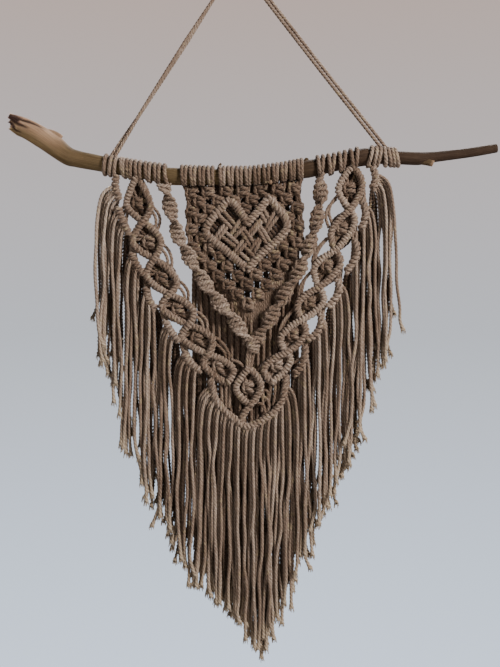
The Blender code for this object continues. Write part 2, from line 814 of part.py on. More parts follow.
def main():
    shop = Workshop()
    made = materials()
    cotton, wood = made["cotton"], made["driftwood"]
    branch(shop, wood)
    bore = branch_room()
    rooms = {
        "left": band_room("band_left", BAND_LEFT, BAND_LEFT_END),
        "right": band_room("band_right", BAND_RIGHT, BAND_RIGHT_END),
        "tip": band_room("band_tip", BAND_TIP, BAND_TIP_END),
    }
    tip_band(shop, rooms, cotton)
    band(shop, "band_left", BAND_LEFT, BAND_LEFT_END, [turns("band_left")], bore, cotton)
    band(shop, "band_right", BAND_RIGHT, BAND_RIGHT_END, [turns("band_right")], bore, cotton)
    panel(shop, bore, cotton)
    spirals(shop, rooms, bore, cotton)
    fringes(shop, rooms, bore, cotton)
    back_layer(shop, cotton)
    for name in ("hitch_left", "hitch_right"):
        finish(shop, name, [turns(name)], bore, cotton)
    grips = bore + [turns_room(name) for name in TURNS]
    hanger(shop, "hanger_a", 1, grips, cotton)
    hanger(shop, "hanger_b", -1, grips, cotton)
    for row in shop.plan:
        assemble(shop, *row)


main()
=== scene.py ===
"""The looks of a macrame wall hanging on a driftwood branch.

Tables are in millimetres as (across, drop): to the right of the nail point and below it. Depth
is towards the wall. photo() turns a place in the 500 by 667 photograph into that frame.
"""

import math

import bpy
import numpy as np
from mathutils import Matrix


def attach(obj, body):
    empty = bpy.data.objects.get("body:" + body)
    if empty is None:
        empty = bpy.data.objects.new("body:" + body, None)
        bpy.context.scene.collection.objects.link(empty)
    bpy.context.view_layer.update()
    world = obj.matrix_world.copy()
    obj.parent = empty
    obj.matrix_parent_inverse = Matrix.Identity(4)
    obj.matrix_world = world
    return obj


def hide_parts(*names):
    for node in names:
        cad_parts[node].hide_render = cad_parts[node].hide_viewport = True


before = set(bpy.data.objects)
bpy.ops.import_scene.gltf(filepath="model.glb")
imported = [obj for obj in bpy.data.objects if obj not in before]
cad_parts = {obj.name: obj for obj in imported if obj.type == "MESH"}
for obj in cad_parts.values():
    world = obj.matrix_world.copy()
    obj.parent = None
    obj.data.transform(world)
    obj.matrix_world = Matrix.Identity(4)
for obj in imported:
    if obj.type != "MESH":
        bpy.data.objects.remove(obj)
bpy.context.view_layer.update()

MM = 0.001
PIXEL = 1.1  # millimetres in the object's plane
NAIL = (238.0, -39.0)  # the nail point in the photograph
RANDOM = np.random.default_rng(11)
SCENE = bpy.context.scene

CORD_RADIUS = 2.05
BAR_DEPTH = -3.2
# How much lighter each kind of cord is than the middle of the dye, in shares of its unevenness:
# each is painted light and shade; the first paints shade on cords that lie behind others
PAINTED_SHADE_TINT = -2.2
PANEL_BASE = -3.2
HEART_BASE = -1.6
BAND_BASE = -1.9
BAR_BASE = -0.8
LOZENGE_BASE = -2.7
LOZENGE_RISE = 0.25  # painted shade lessening from each lozenge of a band to the next
SPIRAL_BASE = -1.0
LEFT_BASE = 0.2
LEFT_LIGHT_FALL = 0.35  # painted light falling off from each bar on the left to the next
RIGHT_BASE = -0.6
TIP_BASE = -0.8
# How cords are made that lie behind others: coarser, and darkened as painted shade
HIDDEN_SHADED = {"sides": 6, "dye_and_shade": PAINTED_SHADE_TINT}


def photo(*places):
    return [(PIXEL * (x - NAIL[0]), PIXEL * (y - NAIL[1])) for x, y in places]


# ---------------------------------------------------------------- camera

DISTANCE = 0.9
VIEW_WIDE = 500 * PIXEL * MM
VIEW_MIDDLE = (0.0132, -0.4098)
SENSOR = 36.0

camera = bpy.data.objects.new("camera", bpy.data.cameras.new("camera"))
camera.data.sensor_fit = "HORIZONTAL"
camera.data.sensor_width = SENSOR
camera.data.lens = SENSOR * DISTANCE / VIEW_WIDE
camera.location = (VIEW_MIDDLE[0], -DISTANCE, VIEW_MIDDLE[1])
camera.rotation_euler = (math.pi / 2, 0.0, 0.0)
SCENE.collection.objects.link(camera)
SCENE.camera = camera


# ---------------------------------------------------------------- curves

TO_WALL = np.array([[0, 1, 0]])


def lengths(path):
    """How far along a path each of its points lies."""
    return np.concatenate([[0], np.cumsum(np.linalg.norm(np.diff(path, axis=0), axis=1))])


def smooth(points, step):
    """Points every step along a smooth curve through the given ones."""
    p = np.asarray(points, float)
    if len(p) > 2:
        p = np.vstack([2 * p[0] - p[1], p, 2 * p[-1] - p[-2]])
        a, b, c, d = (p[k:len(p) - 3 + k, None] for k in range(4))
        t = np.linspace(0, 1, 12, endpoint=False)[None, :, None]
        dense = 0.5 * (2 * b + (c - a) * t + (2 * a - 5 * b + 4 * c - d) * t ** 2
                       + (3 * b - a - 3 * c + d) * t ** 3)
        p = np.vstack([dense.reshape(-1, p.shape[1]), p[-2]])
    gone = lengths(p)
    at = np.linspace(0, gone[-1], max(2, round(gone[-1] / step) + 1))
    return np.stack([np.interp(at, gone, column) for column in p.T], axis=1)


def deep(points, depth):
    """Places across and down, at a depth or at a depth each, as (across, depth, drop)."""
    p = np.asarray(points, float)
    return np.stack([p[:, 0], np.broadcast_to(depth, len(p)), p[:, 1]], axis=1)


def halfway(a, b, aside=0.0):
    return 0.5 * (a[0] + b[0]) + aside, 0.5 * (a[1] + b[1])


def partway(a, b, share):
    return a[0] + share * (b[0] - a[0]), a[1] + share * (b[1] - a[1])


def headings(path):
    """The unit direction at each point of a path."""
    ahead = np.gradient(path, axis=0)
    return ahead / np.maximum(np.linalg.norm(ahead, axis=1), 1e-9)[:, None]


def sideways(ahead):
    """Unit directions square to the given ones and level with the hanging's plane."""
    side = np.stack([-ahead[:, 2], 0 * ahead[:, 0], ahead[:, 0]], 1)
    return side / np.linalg.norm(side, axis=1)[:, None]


def circle(sides):
    return math.tau * np.arange(sides) / sides


def rings(path, reach, angle, flat=1.0):
    """A ring of points about each point of a path, which turns with it and no further."""
    ahead = headings(path)
    first = np.cross(ahead[0], (0.3, 1.0, 0.2))
    side = np.empty_like(path)
    for i, t in enumerate(ahead):
        first = first - t * (first @ t)
        first = first / math.sqrt(first @ first)
        side[i] = first
    other = np.cross(ahead, side)
    return path[:, None] + reach[..., None] * (
        np.cos(angle)[..., None] * side[:, None] + flat * np.sin(angle)[..., None] * other[:, None])


def tube_faces(count, sides):
    """A tube's quads and triangles. Its two end points come after all its rings."""
    i, j = np.meshgrid(np.arange(count - 1), np.arange(sides), indexing="ij")
    k = (j + 1) % sides
    quads = np.stack([i * sides + j, i * sides + k, (i + 1) * sides + k, (i + 1) * sides + j], -1)
    around = np.arange(sides)
    after = (around + 1) % sides
    total = count * sides
    low = np.stack([np.full(sides, total), after, around], 1)
    high = np.stack([np.full(sides, total + 1), total - sides + around, total - sides + after], 1)
    return quads.reshape(-1, 4), np.vstack([low, high])


# ---------------------------------------------------------------- materials

class Nodes:
    """Short ways to build the nodes of a material or of the world."""

    def __init__(self, owner):
        owner.use_nodes = True
        self.tree = owner.node_tree

    def add(self, kind, inputs=None, **settings):
        node = self.tree.nodes.new(kind)
        for key, value in settings.items():
            setattr(node, key, value)
        self.give(node, inputs or {})
        return node

    def give(self, node, inputs):
        for key, value in inputs.items():
            if isinstance(value, bpy.types.NodeSocket):
                self.tree.links.new(value, node.inputs[key])
            else:
                node.inputs[key].default_value = value

    def maths(self, operation, *values):
        return self.add("ShaderNodeMath", dict(enumerate(values)), operation=operation).outputs[0]

    def weighed(self, *terms):
        """The sum of values, each times its weight."""
        parts = [self.maths("MULTIPLY", *term) for term in terms]
        total = parts[0]
        for part in parts[1:]:
            total = self.maths("ADD", total, part)
        return total

    def attribute(self, name):
        return self.add("ShaderNodeAttribute", attribute_name=name).outputs[2]

    def noise(self, vector, scale, detail=3.0, roughness=0.55):
        inputs = {"Vector": vector, "Scale": scale, "Detail": detail, "Roughness": roughness}
        return self.add("ShaderNodeTexNoise", inputs).outputs["Fac"]

    def stretched(self, vector, scale, detail, roughness=0.55):
        """Noise with a scale each way over a map."""
        inputs = {"Vector": vector, "Scale": (*scale, 1.0)}
        vector = self.add("ShaderNodeMapping", inputs).outputs[0]
        return self.noise(vector, 1.0, detail, roughness)

    def ramp(self, value, *stops):
        node = self.add("ShaderNodeValToRGB", {"Fac": value})
        elements = node.color_ramp.elements
        while len(elements) < len(stops):
            elements.new(0.5)
        for element, (place, colour) in zip(elements, stops):
            element.position = place
            element.color = (*colour, 1.0)
        return node.outputs[0]

    def spots(self, value, low, high, most):
        return self.ramp(value, (low, (0.0,) * 3), (high, (most,) * 3))

    def mix(self, share, a, b, blend="MIX"):
        a, b = ((*colour, 1.0) if isinstance(colour, tuple) else colour for colour in (a, b))
        inputs = {0: share, 6: a, 7: b}
        return self.add("ShaderNodeMix", inputs, data_type="RGBA", blend_type=blend).outputs[2]

    def bump(self, height, strength, distance, **under):
        inputs = {"Height": height, "Strength": strength, "Distance": distance, **under}
        return self.add("ShaderNodeBump", inputs).outputs[0]


def cotton_material():
    """Matt cotton cord: fine fibres along the plies, uneven dye and painted light and shade, paler
    gold at the cut ends.
    """
    material = bpy.data.materials.new("cotton")
    n = Nodes(material)
    where = n.add("ShaderNodeUVMap", uv_map="lay").outputs[0]
    place = n.add("ShaderNodeTexCoord").outputs["Object"]
    fibres = n.stretched(where, (1.9, 0.42), 5.0, 0.7)
    lumps = n.stretched(where, (0.25, 0.11), 2.0)
    # Each cord's mark adds uneven dye and its kind's painted light and shade; the darkest stops
    # serve cords darkened as painted shade
    shade = n.weighed((fibres, 0.95), (lumps, 0.2), (n.noise(place, 34.0), 0.25),
                      (n.attribute("dye_and_shade"), 0.06))
    colour = n.ramp(shade, (0.36, (0.045, 0.025, 0.015)), (0.52, (0.13, 0.077, 0.048)),
                    (0.70, (0.29, 0.209, 0.158)), (0.88, (0.60, 0.49, 0.40)))
    # Gold patches and bright flecks: partly gold thread, partly painted glints
    gold = n.spots(n.noise(place, 120.0, 2.0), 0.60, 0.72, 0.5)
    colour = n.mix(gold, colour, (0.46, 0.36, 0.20))
    flecks_and_glints = n.spots(n.stretched(where, (2.4, 0.8), 1.0), 0.66, 0.74, 0.6)
    colour = n.mix(flecks_and_glints, colour, (0.74, 0.60, 0.42))
    ends = n.mix(fibres, (0.24, 0.160, 0.108), (0.70, 0.575, 0.41))
    colour = n.mix(n.maths("MULTIPLY", n.attribute("tip"), 0.8), colour, ends)
    # Painted shade in the plies' grooves
    groove = n.maths("MULTIPLY", n.attribute("groove"), 0.7)
    colour = n.mix(groove, colour, (0.35, 0.27, 0.21), "MULTIPLY")
    rough = n.bump(lumps, 0.5, 0.0008)
    n.give(n.tree.nodes["Principled BSDF"], {
        "Base Color": colour, "Roughness": 0.86, "Specular IOR Level": 0.3, "Sheen Weight": 0.12,
        "Sheen Roughness": 0.5, "Normal": n.bump(fibres, 0.8, 0.0005, Normal=rough)})
    return material


def wood_material():
    """Dry driftwood: streaks along the grain, pale where it broke, darker in the cracks."""
    material = bpy.data.materials.new("driftwood")
    n = Nodes(material)
    where = n.add("ShaderNodeUVMap", uv_map="grain").outputs[0]
    place = n.add("ShaderNodeTexCoord").outputs["Object"]
    streaks = n.stretched(where, (26.0, 0.28), 5.0, 0.6)
    fine = n.stretched(where, (90.0, 0.9), 4.0, 0.65)
    shade = n.weighed((streaks, 0.55), (fine, 0.35), (n.noise(place, 22.0), 0.2))
    olive, dull, broken = (n.ramp(shade, *zip((0.38, 0.55, 0.72), colours)) for colours in (
        ((0.040, 0.023, 0.010), (0.092, 0.059, 0.026), (0.18, 0.122, 0.060)),
        ((0.016, 0.008, 0.004), (0.036, 0.019, 0.0105), (0.085, 0.052, 0.032)),
        ((0.13, 0.064, 0.036), (0.27, 0.168, 0.104), (0.43, 0.30, 0.205))))
    colour = n.mix(n.attribute("grey"), olive, dull)
    colour = n.mix(n.attribute("pale"), colour, broken)
    colour = n.mix(n.attribute("crack"), colour, (0.016, 0.005, 0.003))
    rough = n.bump(streaks, 0.5, 0.0010)
    n.give(n.tree.nodes["Principled BSDF"], {
        "Base Color": colour, "Roughness": 0.78, "Specular IOR Level": 0.18,
        "Normal": n.bump(fine, 0.35, 0.0004, Normal=rough)})
    return material


# A slot's material, with the UV map and the attributes that it reads
LOOKS = {
    "cotton": (cotton_material(), "lay", ("dye_and_shade", "tip", "groove")),
    "driftwood": (wood_material(), "grain", ("pale", "crack", "grey")),
}


def piece(name, slot, points, faces, places, marks, nodes=()):
    """A smooth-shaded piece of the one body, in place of CAD nodes if any are named.

    places holds each point's place on the UV map, and marks its value for each attribute.
    """
    material, layer, labels = LOOKS[slot]
    quads, threes = faces
    loops = np.concatenate([quads.ravel(), threes.ravel()])
    start = np.concatenate([4 * np.arange(len(quads)), 4 * len(quads) + 3 * np.arange(len(threes))])
    mesh = bpy.data.meshes.new(name)
    mesh.vertices.add(len(points))
    mesh.vertices.foreach_set("co", (points * (MM, MM, -MM)).astype(np.float32).ravel())
    mesh.loops.add(len(loops))
    mesh.loops.foreach_set("vertex_index", loops.astype(np.int32))
    mesh.polygons.add(len(start))
    mesh.polygons.foreach_set("loop_start", start.astype(np.int32))
    mesh.polygons.foreach_set("use_smooth", np.ones(len(start), bool))
    mesh.update(calc_edges=True)
    mesh.validate()
    mesh.materials.append(material)
    mesh.uv_layers.new(name=layer).data.foreach_set("uv", places[loops].astype(np.float32).ravel())
    for label, values in zip(labels, marks.T):
        attribute = mesh.attributes.new(label, "FLOAT", "POINT")
        attribute.data.foreach_set("value", values.astype(np.float32))
    made = bpy.data.objects.new(name, mesh)
    SCENE.collection.objects.link(made)
    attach(made, "root")
    if nodes:
        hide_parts(*nodes)
    return made


# ---------------------------------------------------------------- cords

PLIES = 3
VALLEY = 0.77  # a ply's groove lies this share of the cord's radius out
LAY = 12.5  # length in which a ply goes once round
STEP = 1.5
FLARE = 0.6  # how much wider a cut end is than its cord
FLARED = 8.0  # length in which it widens
PALED = 30.0  # length in which it pales
TUFT = 12
FIBRE_STEP = 2.6


class Yarn:
    """Gathers twisted cords into one mesh."""

    def __init__(self, base=0.0):
        self.base = base  # how much lighter than the middle of the dye its cords are, as painted light and shade
        self.points, self.quads, self.threes, self.maps, self.marks = [], [], [], [], []
        self.count = 0

    def gather(self, points, quads, threes, maps, *marks):
        """Takes in the mesh of one cord or fibre, with what its material reads at each point."""
        self.points.append(points)
        self.quads.append(quads + self.count)
        self.threes.append(threes + self.count)
        self.maps.append(maps)
        self.marks.append(np.stack(np.broadcast_arrays(*marks), 1))
        self.count += len(points)

    def cord(self, path, radius=CORD_RADIUS, step=STEP, lay=LAY, sides=9, frayed=False, dye_and_shade=None,
             smoothed=False):
        """A twisted cord along (across, depth, drop) points. A frayed one ends in a tuft."""
        path = np.asarray(path, float) if smoothed else smooth(path, step)
        count = len(path)
        gone = lengths(path)
        dye_and_shade = self.base + (RANDOM.uniform(-1, 1) if dye_and_shade is None else dye_and_shade)
        twist = RANDOM.uniform(0, math.tau) + math.tau * gone / lay
        groove = np.arange(sides) % (sides // PLIES) == 0
        reach = radius * np.where(groove, VALLEY, 1.0)[None] * np.ones((count, 1))
        tip = np.zeros(count)
        if frayed:
            left = gone[-1] - gone
            reach *= (1 + FLARE * np.clip(1 - left / FLARED, 0, 1) ** 1.5)[:, None]
            tip = np.clip(1 - left / PALED, 0, 1)
        ring = rings(path, reach, twist[:, None] + circle(sides))
        ends = path[[0, -1]] + np.array([path[0] - path[1], path[-1] - path[-2]]) * 0.2
        shift = RANDOM.uniform(0, 400)
        maps = np.stack(np.broadcast_arrays(radius * circle(sides), gone[:, None] + shift), -1)
        maps = np.vstack([maps.reshape(-1, 2), (0, shift), (0, shift + gone[-1])])
        # Marks: uneven dye with painted light and shade, paler cut ends, and the grooves that get
        # painted shade
        self.gather(np.vstack([ring.reshape(-1, 3), ends]), *tube_faces(count, sides), maps, dye_and_shade,
                    np.append(np.repeat(tip, sides), (0.0, frayed)),
                    np.append(np.tile(groove.astype(float), count), (0.5, 0.5)))
        if frayed:
            self.tuft(path[-1], dye_and_shade)
        return path

    def tuft(self, end, dye_and_shade):
        """Loose fibres at a cut end."""
        for k in range(TUFT):
            a = math.tau * k / TUFT + RANDOM.uniform(-0.4, 0.4)
            long = RANDOM.uniform(1.5, 5.0)
            out = RANDOM.uniform(0.0, 1.6)
            way = np.array([math.cos(a), 0.7 * math.sin(a), 0.0])
            path = smooth([end + way * 1.4 - (0, 0, 3), end + way * 2.2,
                           end + way * (2.1 + out) + (0, 0, long)], FIBRE_STEP)
            ring = rings(path, np.linspace(0.75, 0.25, len(path))[:, None], circle(3)[None])
            total = 3 * len(path)
            caps = np.array([[2, 1, 0], [total - 3, total - 2, total - 1]])
            self.gather(ring.reshape(-1, 3), tube_faces(len(path), 3)[0], caps,
                        np.zeros((total, 2)), np.full(total, dye_and_shade), 1.0, 0.0)

    def piece(self, name, *nodes):
        """The gathered cords as one piece of the hanging."""
        faces = np.vstack(self.quads)[:, ::-1], np.vstack(self.threes)[:, ::-1]
        return piece(name, "cotton", np.vstack(self.points), faces, np.vstack(self.maps),
                     np.vstack(self.marks), nodes)


# ---------------------------------------------------------------- the hanging cord

HANGER = (
    (-142, 222), (-128, 200), (-81, 126.4), (-27.5, 43), (-4.5, 6.5), (0, 2.2), (4.5, 5),
    (33, 42.9), (95, 123), (152, 195), (163, 210),
)
# How far round each other the two strands have turned: share of the length, degrees
HANGER_TURN = ((0.0, 10), (0.12, 80), (0.3, 110), (0.45, 60), (0.55, 20), (1.0, 0))
HANGER_REACH = 2.2
HANGER_DIAMETER = 4.0


def hanger(name, side, node):
    """One strand of the doubled cord."""
    line = smooth(deep(HANGER, 0.0), STEP)
    across = -sideways(headings(line))
    share = np.linspace(0, 1, len(line))
    angle = np.radians(np.interp(share, *np.array(HANGER_TURN).T))[:, None]
    line = line + side * HANGER_REACH * (across * np.cos(angle) + TO_WALL * np.sin(angle))
    yarn = Yarn()
    path = yarn.cord(line, radius=HANGER_DIAMETER / 2, smoothed=True)
    made = yarn.piece(name, node)


hanger("hanging_cord_a", 1, "hanger_a")
hanger("hanging_cord_b", -1, "hanger_b")

# ---------------------------------------------------------------- the branch

# The branch's axis from its broken end to its sawn end: across, drop, radius
BRANCH = np.array((
    (-257, 174.6, 9.6), (-244, 180, 10.5), (-228.8, 186.5, 11), (-215.6, 194.2, 11.5),
    (-204.6, 202.4, 10.7), (-193.6, 210.4, 10.2), (-185.4, 215.4, 9.9), (-178, 217.4, 9.2),
    (-171.6, 218.9, 9), (-151.8, 222.8, 8.6), (-124.3, 228.3, 8.2), (-96.8, 232.7, 8.3),
    (-71.5, 237.1, 9.5), (-25.3, 237.6, 8.6), (13.2, 237.1, 8.1), (46.2, 233.2, 8.3),
    (77, 228.8, 9.7), (106.7, 222.8, 8.4), (139.7, 215.6, 9.7), (161.7, 215.6, 7.5),
    (178.2, 216.7, 7.2), (198, 217.3, 7.2), (217.8, 215.2, 5.6), (244.2, 212.3, 5.1),
    (266.2, 209, 5), (284.5, 206, 4.7),
))
BRANCH_START = -251.5
BRANCH_SIDES = 64
BRANCH_STEP = 1.1
GRAIN_STEP = 0.12
# Waves of its skin: how fast each goes along it and round it, and its start
SWELLS = ((0.045, 2, 0.3), (0.08, -3, 1.9), (0.13, 1, 4.0), (0.03, 5, 2.2))
RIDGES = ((0.02, 9, 0.5), (0.035, -11, 2.5), (0.05, 14, 1.0), (0.015, 19, 3.1))
# Cracks from the broken end: where each lies round the branch, at nought, 15 and 30
# millimetres along it, then its width round the branch and its length
CRACKS = (
    ((1.20, 0.66, 0.85), 0.15, 42.0),
    ((0.62, 0.36, 0.20), 0.27, 14.0),
    ((0.10, 0.02, 0.00), 0.11, 27.0),
    ((0.42, 0.30, 0.22), 0.07, 11.0),
    ((-0.35, -0.45, -0.50), 0.20, 12.0),
    ((-0.80, -0.75, -0.70), 0.11, 20.0),
    ((1.75, 1.60, 1.60), 0.10, 20.0),
    ((2.60, 2.50, 2.40), 0.12, 18.0),
    ((3.60, 3.70, 3.80), 0.12, 24.0),
    ((4.40, 4.30, 4.30), 0.10, 14.0),
)
CRACK_DEPTH = 3.2
SPUR = (-201, 7, 1.6)  # across, half width and height
# Side stubs: name, path, radii along it, how pale it is at its end and how far all along, and
# how flat it is
STUBS = (
    ("chip", ((-214, 0, 188.5), (-206, -0.6, 189.4), (-199, -1, 191.6), (-193.6, -1.2, 194.8)),
     (4.2, 4.0, 3.4, 2.6), 0.9, 1.0, 0.5),
    ("stub_twig", ((-22, 0, 234), (-20.5, -0.5, 226), (-18.4, -1, 222.9)), (2.4, 1.8, 1.1), 0.2),
    ("stub_bud", ((75, 0, 224), (75.4, -0.5, 219), (75.9, -0.5, 216.9)), (5.0, 3.6, 1.4), 0.0),
    ("stub_under", ((197, 0, 216.5), (206, -1, 219.5), (214.5, -1.5, 223.4)), (6.2, 5.2, 3.2), 1.0),
    ("fleck", ((35.4, -10.6, 247.2), (35.6, -11.6, 245.4), (35.3, -11.8, 243.6)),
     (1.2, 1.9, 1.2), 1.0, 1.0),
)
STUB_SIDES = 20
STUB_STEP = 0.7


def branch_at(across):
    """Drop and radius of the branch at a place across."""
    return [np.interp(across, BRANCH[:, 0], BRANCH[:, k]) for k in (1, 2)]


def waves(u, v, seeds):
    """A smooth uneven value from about -1 to 1."""
    return sum(np.sin(a * u + b * v + c) for a, b, c in seeds) / len(seeds)


def wooden(name, points, ends, grain, marks, end_marks, way, *nodes):
    """A piece of wood from its rings and its end points. way is -1 if the rings run backwards."""
    count, sides, _ = points.shape
    places = np.stack(np.broadcast_arrays(np.sin(circle(sides) / 2), grain[:, None]), -1)
    faces = [kind[:, ::way] for kind in tube_faces(count, sides)]
    piece(name, "driftwood", np.vstack([points.reshape(-1, 3), *ends]), faces,
          np.vstack([places.reshape(-1, 2), np.zeros((2, 2))]),
          np.vstack([marks.reshape(-1, 3), *end_marks]), nodes)


def branch():
    """The branch's skin, with its ends, swellings, ridges and cracks."""
    line = smooth(BRANCH[:, :2], BRANCH_STEP)
    line = line[np.searchsorted(line[:, 0], BRANCH_START):]
    x, z = line[:, :1], line[:, 1:]
    ahead = headings(line)
    angle = circle(BRANCH_SIDES)
    s, a = BRANCH_STEP * np.arange(len(line))[:, None], angle[None]
    top = np.sin(a)
    swell = 0.035 * waves(s, a, SWELLS) + 0.016 * waves(s, a, RIDGES)
    bare = np.clip((np.abs(x + 20) - 190) / 20, 0, 1)
    reach = branch_at(x)[1] * (1 + swell * (0.35 + 1.3 * bare))
    crack = 0
    for places, wide, long in CRACKS:
        away = (a - np.interp(s, (0, 15, 30), places) + np.pi) % math.tau - np.pi
        crack = crack + np.exp(-(away / wide) ** 2) * np.clip((long - s) / (0.5 * long), 0, 1)
    crack = np.clip(crack, 0, 1)
    spur = np.exp(-((x - SPUR[0]) / SPUR[1]) ** 2) * np.exp(-((a - np.pi / 2) / 0.75) ** 2)
    reach = reach - CRACK_DEPTH * crack + SPUR[2] * spur
    points = np.stack([x + reach * top * ahead[:, 1:], -reach * np.cos(a),
                       z - reach * top * ahead[:, :1]], -1)
    jag = 1.4 * np.sin(7 * a + 1) + 0.9 * np.sin(13 * a + 2.2) + 0.7 * np.sin(23 * a)
    points[..., 0] += np.clip(1 - s / 12, 0, 1) * (1.5 - 4.0 * top + jag)
    pale = np.clip((-190 - x) / 22, 0, 1) * np.clip(0.42 + 0.75 * top, 0, 1)
    grey = np.clip((x - 10) / 80, 0, 1) * np.ones_like(a)
    layers = [points]
    marks = [np.stack([np.maximum(pale, 0.85 * spur), np.clip(2.5 * crack, 0, 1), grey], -1)]
    broken, sawn = points[0], points[-1]
    for share in (0.8, 0.6, 0.4, 0.2, 0.03):
        rough = 2.6 * np.sin(5 * angle + 9 * share) + 1.8 * np.sin(11 * angle - 14 * share)
        inner = broken.mean(0) + (broken - broken.mean(0)) * share
        inner[:, 0] += (1 - share) * 2.0 + 0.35 * rough
        split = 0.75 * np.exp(-(np.sin(3 * angle + 5 * share) / 0.22) ** 2)
        outer = sawn.mean(0) + (sawn - sawn.mean(0)) * share
        outer[:, 0] += 0.5 * (1 - share) * np.cos(3 * angle)
        layers = [inner[None], *layers, outer[None]]
        marks = [np.stack(np.broadcast_arrays(0.75, split, 0.0), -1)[None], *marks,
                 np.tile((0.35, 0.05, 1.0), (1, BRANCH_SIDES, 1))]
    points, marks = np.concatenate(layers), np.concatenate(marks)
    wooden("driftwood_branch", points, (points[0].mean(0), points[-1].mean(0)),
           GRAIN_STEP * np.arange(len(points)), marks, (marks[0, 0], marks[-1, 0]), 1, "branch")


def stub(name, path, radii, pale, bare=0.0, flat=1.0):
    """A short side stub of the branch, pale at its end or all along, and perhaps flattened."""
    path = smooth(path, STUB_STEP)
    share = np.linspace(0, 1, len(path))
    thick = np.interp(share, np.linspace(0, 1, len(radii)), radii)
    angle = circle(STUB_SIDES)[None]
    uneven = 1 + 0.09 * np.sin(3 * angle + 1) + 0.05 * np.sin(7 * angle + 2)
    points = rings(path, thick[:, None] * uneven, angle, flat)
    shade = pale * np.maximum(bare, np.clip((share - 0.8) / 0.2, 0, 1))
    marks = np.stack(np.broadcast_arrays(np.repeat(shade, STUB_SIDES), 0.0, 0.5), -1)
    wooden(name, points, path[[0, -1]], 0.1 * share, marks, ((pale * bare, 0, 0.5), (pale, 0, 0.5)),
           -1)


branch()
for row in STUBS:
    stub(*row)

# ---------------------------------------------------------------- turns round the branch

# Places across of the turns, in the photograph's pixels
TURNS = {
    "hitch_left": (107, 112.5, 117),
    "fringe_left_0": (121.8, 124.4),
    "band_left": (127.8, 132, 136.2, 140.8, 146, 150.6, 155.2, 160, 165),
    "panel": (182.4, 186.6, 190.8, 195.4, 200, 204.2, 208.4, 212.8, 220.2, 224.4, 228.4, 232.4,
              236.8, 241.2, 245.6, 250.2, 254.4, 258.8, 263.4, 268.4, 273, 277.2, 281.4, 285.8,
              290, 294, 297.8, 301.4),
    "band_right": (317.4, 322.8, 328.2, 333.8, 339, 344.6, 350.2, 356.6),
    "fringe_right_0": (371.8, 376.2, 380.2),
    "hitch_right": (383.6, 387.4, 391.2, 394.4),
}
TURNS = {name: [PIXEL * (x - NAIL[0]) for x in places] for name, places in TURNS.items()}
# How far the first and the second turn of each pair lean across the branch
PULL = (1.7, -0.9)
PULLS = {"band_right": (2.6, -1.6), "fringe_right_0": (-4.5, -3.0), "hitch_right": (2.6, 3.4),
         "hitch_left": (-2.6, -3.4)}
TURN_CORD = 2.25


def turn(yarn, across, lean, hanging):
    """A turn of cord over the branch at a place across. A hanging one runs on below it."""
    drop, radius = branch_at(across)
    reach = radius + CORD_RADIUS - 0.1
    angle = np.radians(np.linspace(-118, 118, 17) if hanging else np.linspace(-186, 186, 25))
    shift = lean * (1 - np.cos(angle)) ** 1.5 / 2.83
    points = np.stack([across + shift + 0.35 * np.sin(angle), np.sin(angle) * reach,
                       drop - np.cos(angle) * reach], 1)
    if hanging:
        points = np.vstack([points[0] + (0.3 * lean, 5.0, 4.8), points,
                            points[-1] + (0.3 * lean, -5.0, 4.8)])
    yarn.cord(points, radius=TURN_CORD, step=1.4)


def turns(yarn, name, hanging=True):
    """A row of turns in pairs, each pair's ends drawn together under the branch."""
    for k, across in enumerate(TURNS[name]):
        lean = PULLS.get(name, PULL)[k % 2]
        turn(yarn, across, lean + RANDOM.uniform(-0.4, 1.2), hanging)


# ---------------------------------------------------------------- bars and knots

HITCH_STEP = 0.36
HITCH_PITCH = 3.7
HITCH_REACH = 2.0
HITCH_CORD = 2.35
KNOT_CORD = 2.2
KNOT_LAY = 12.0
# A square knot's cords from the front, in shares of its width and height with a depth in
# millimetres: the loop down its left side, its two crossings, and its two core cords
SQUARE_KNOT = (
    ((-0.05, 0.8, -0.50), (-0.25, -1.6, -0.37), (-0.365, -2.9, 0.0), (-0.26, -1.6, 0.37),
     (-0.05, 0.8, 0.50)),
    ((-0.20, 0.2, -0.34), (-0.09, -3.5, -0.29), (0.12, -4.6, -0.21), (0.30, -2.9, -0.12),
     (0.34, 0.6, -0.02)),
    ((-0.20, 0.2, 0.07), (-0.09, -3.5, 0.12), (0.12, -4.6, 0.20), (0.30, -2.9, 0.29),
     (0.32, 0.6, 0.44)),
    ((0.28, 0.8, -0.50), (0.36, -0.9, -0.38), (0.20, -1.2, -0.24)),
    ((-0.13, -0.4, -0.54), (-0.13, -0.6, 0.0), (-0.13, -0.4, 0.54)),
    ((0.14, -0.4, -0.54), (0.14, -0.6, 0.0), (0.14, -0.4, 0.54)),
)
CROSSINGS = (1, 2)
CROSSING_THICK = 1.14


def hitches(yarn, line, depth=BAR_DEPTH, wide=HITCH_REACH, pitch=HITCH_PITCH, way=1,
            radius=HITCH_CORD):
    """A bar of double half hitches: loops of cord laid in pairs round a core along the line."""
    points = deep(line, depth) if len(line[0]) == 2 else np.asarray(line, float)
    path = smooth(points, HITCH_STEP)
    gone = np.arange(len(path)) * HITCH_STEP
    uneven = 0.3 * np.sin(gone * 0.55 + RANDOM.uniform(0, 6)) * np.sin(gone * 0.21)
    uneven += 0.35 * np.sin(np.pi * gone / pitch + RANDOM.uniform(0, 6))
    angle = way * math.tau * gone / pitch + uneven + RANDOM.uniform(0, 6)
    loose = 1 + 0.05 * np.sin(gone * 1.1 + RANDOM.uniform(0, 6))
    coil = (path + sideways(headings(path)) * (wide * loose * np.cos(angle))[:, None]
            + TO_WALL * (HITCH_REACH * loose * np.sin(angle))[:, None])
    yarn.cord(coil, radius=radius, step=1.3, lay=14.0)


def turned(points, centre, angle):
    """Knot-shaped points, (across, depth, drop) about nought, turned in the hanging's plane."""
    c, s = math.cos(angle), math.sin(angle)
    p = np.asarray(points, float)
    return np.stack([centre[0] + c * p[:, 0] - s * p[:, 2], centre[1] + p[:, 1],
                     centre[2] + s * p[:, 0] + c * p[:, 2]], 1)


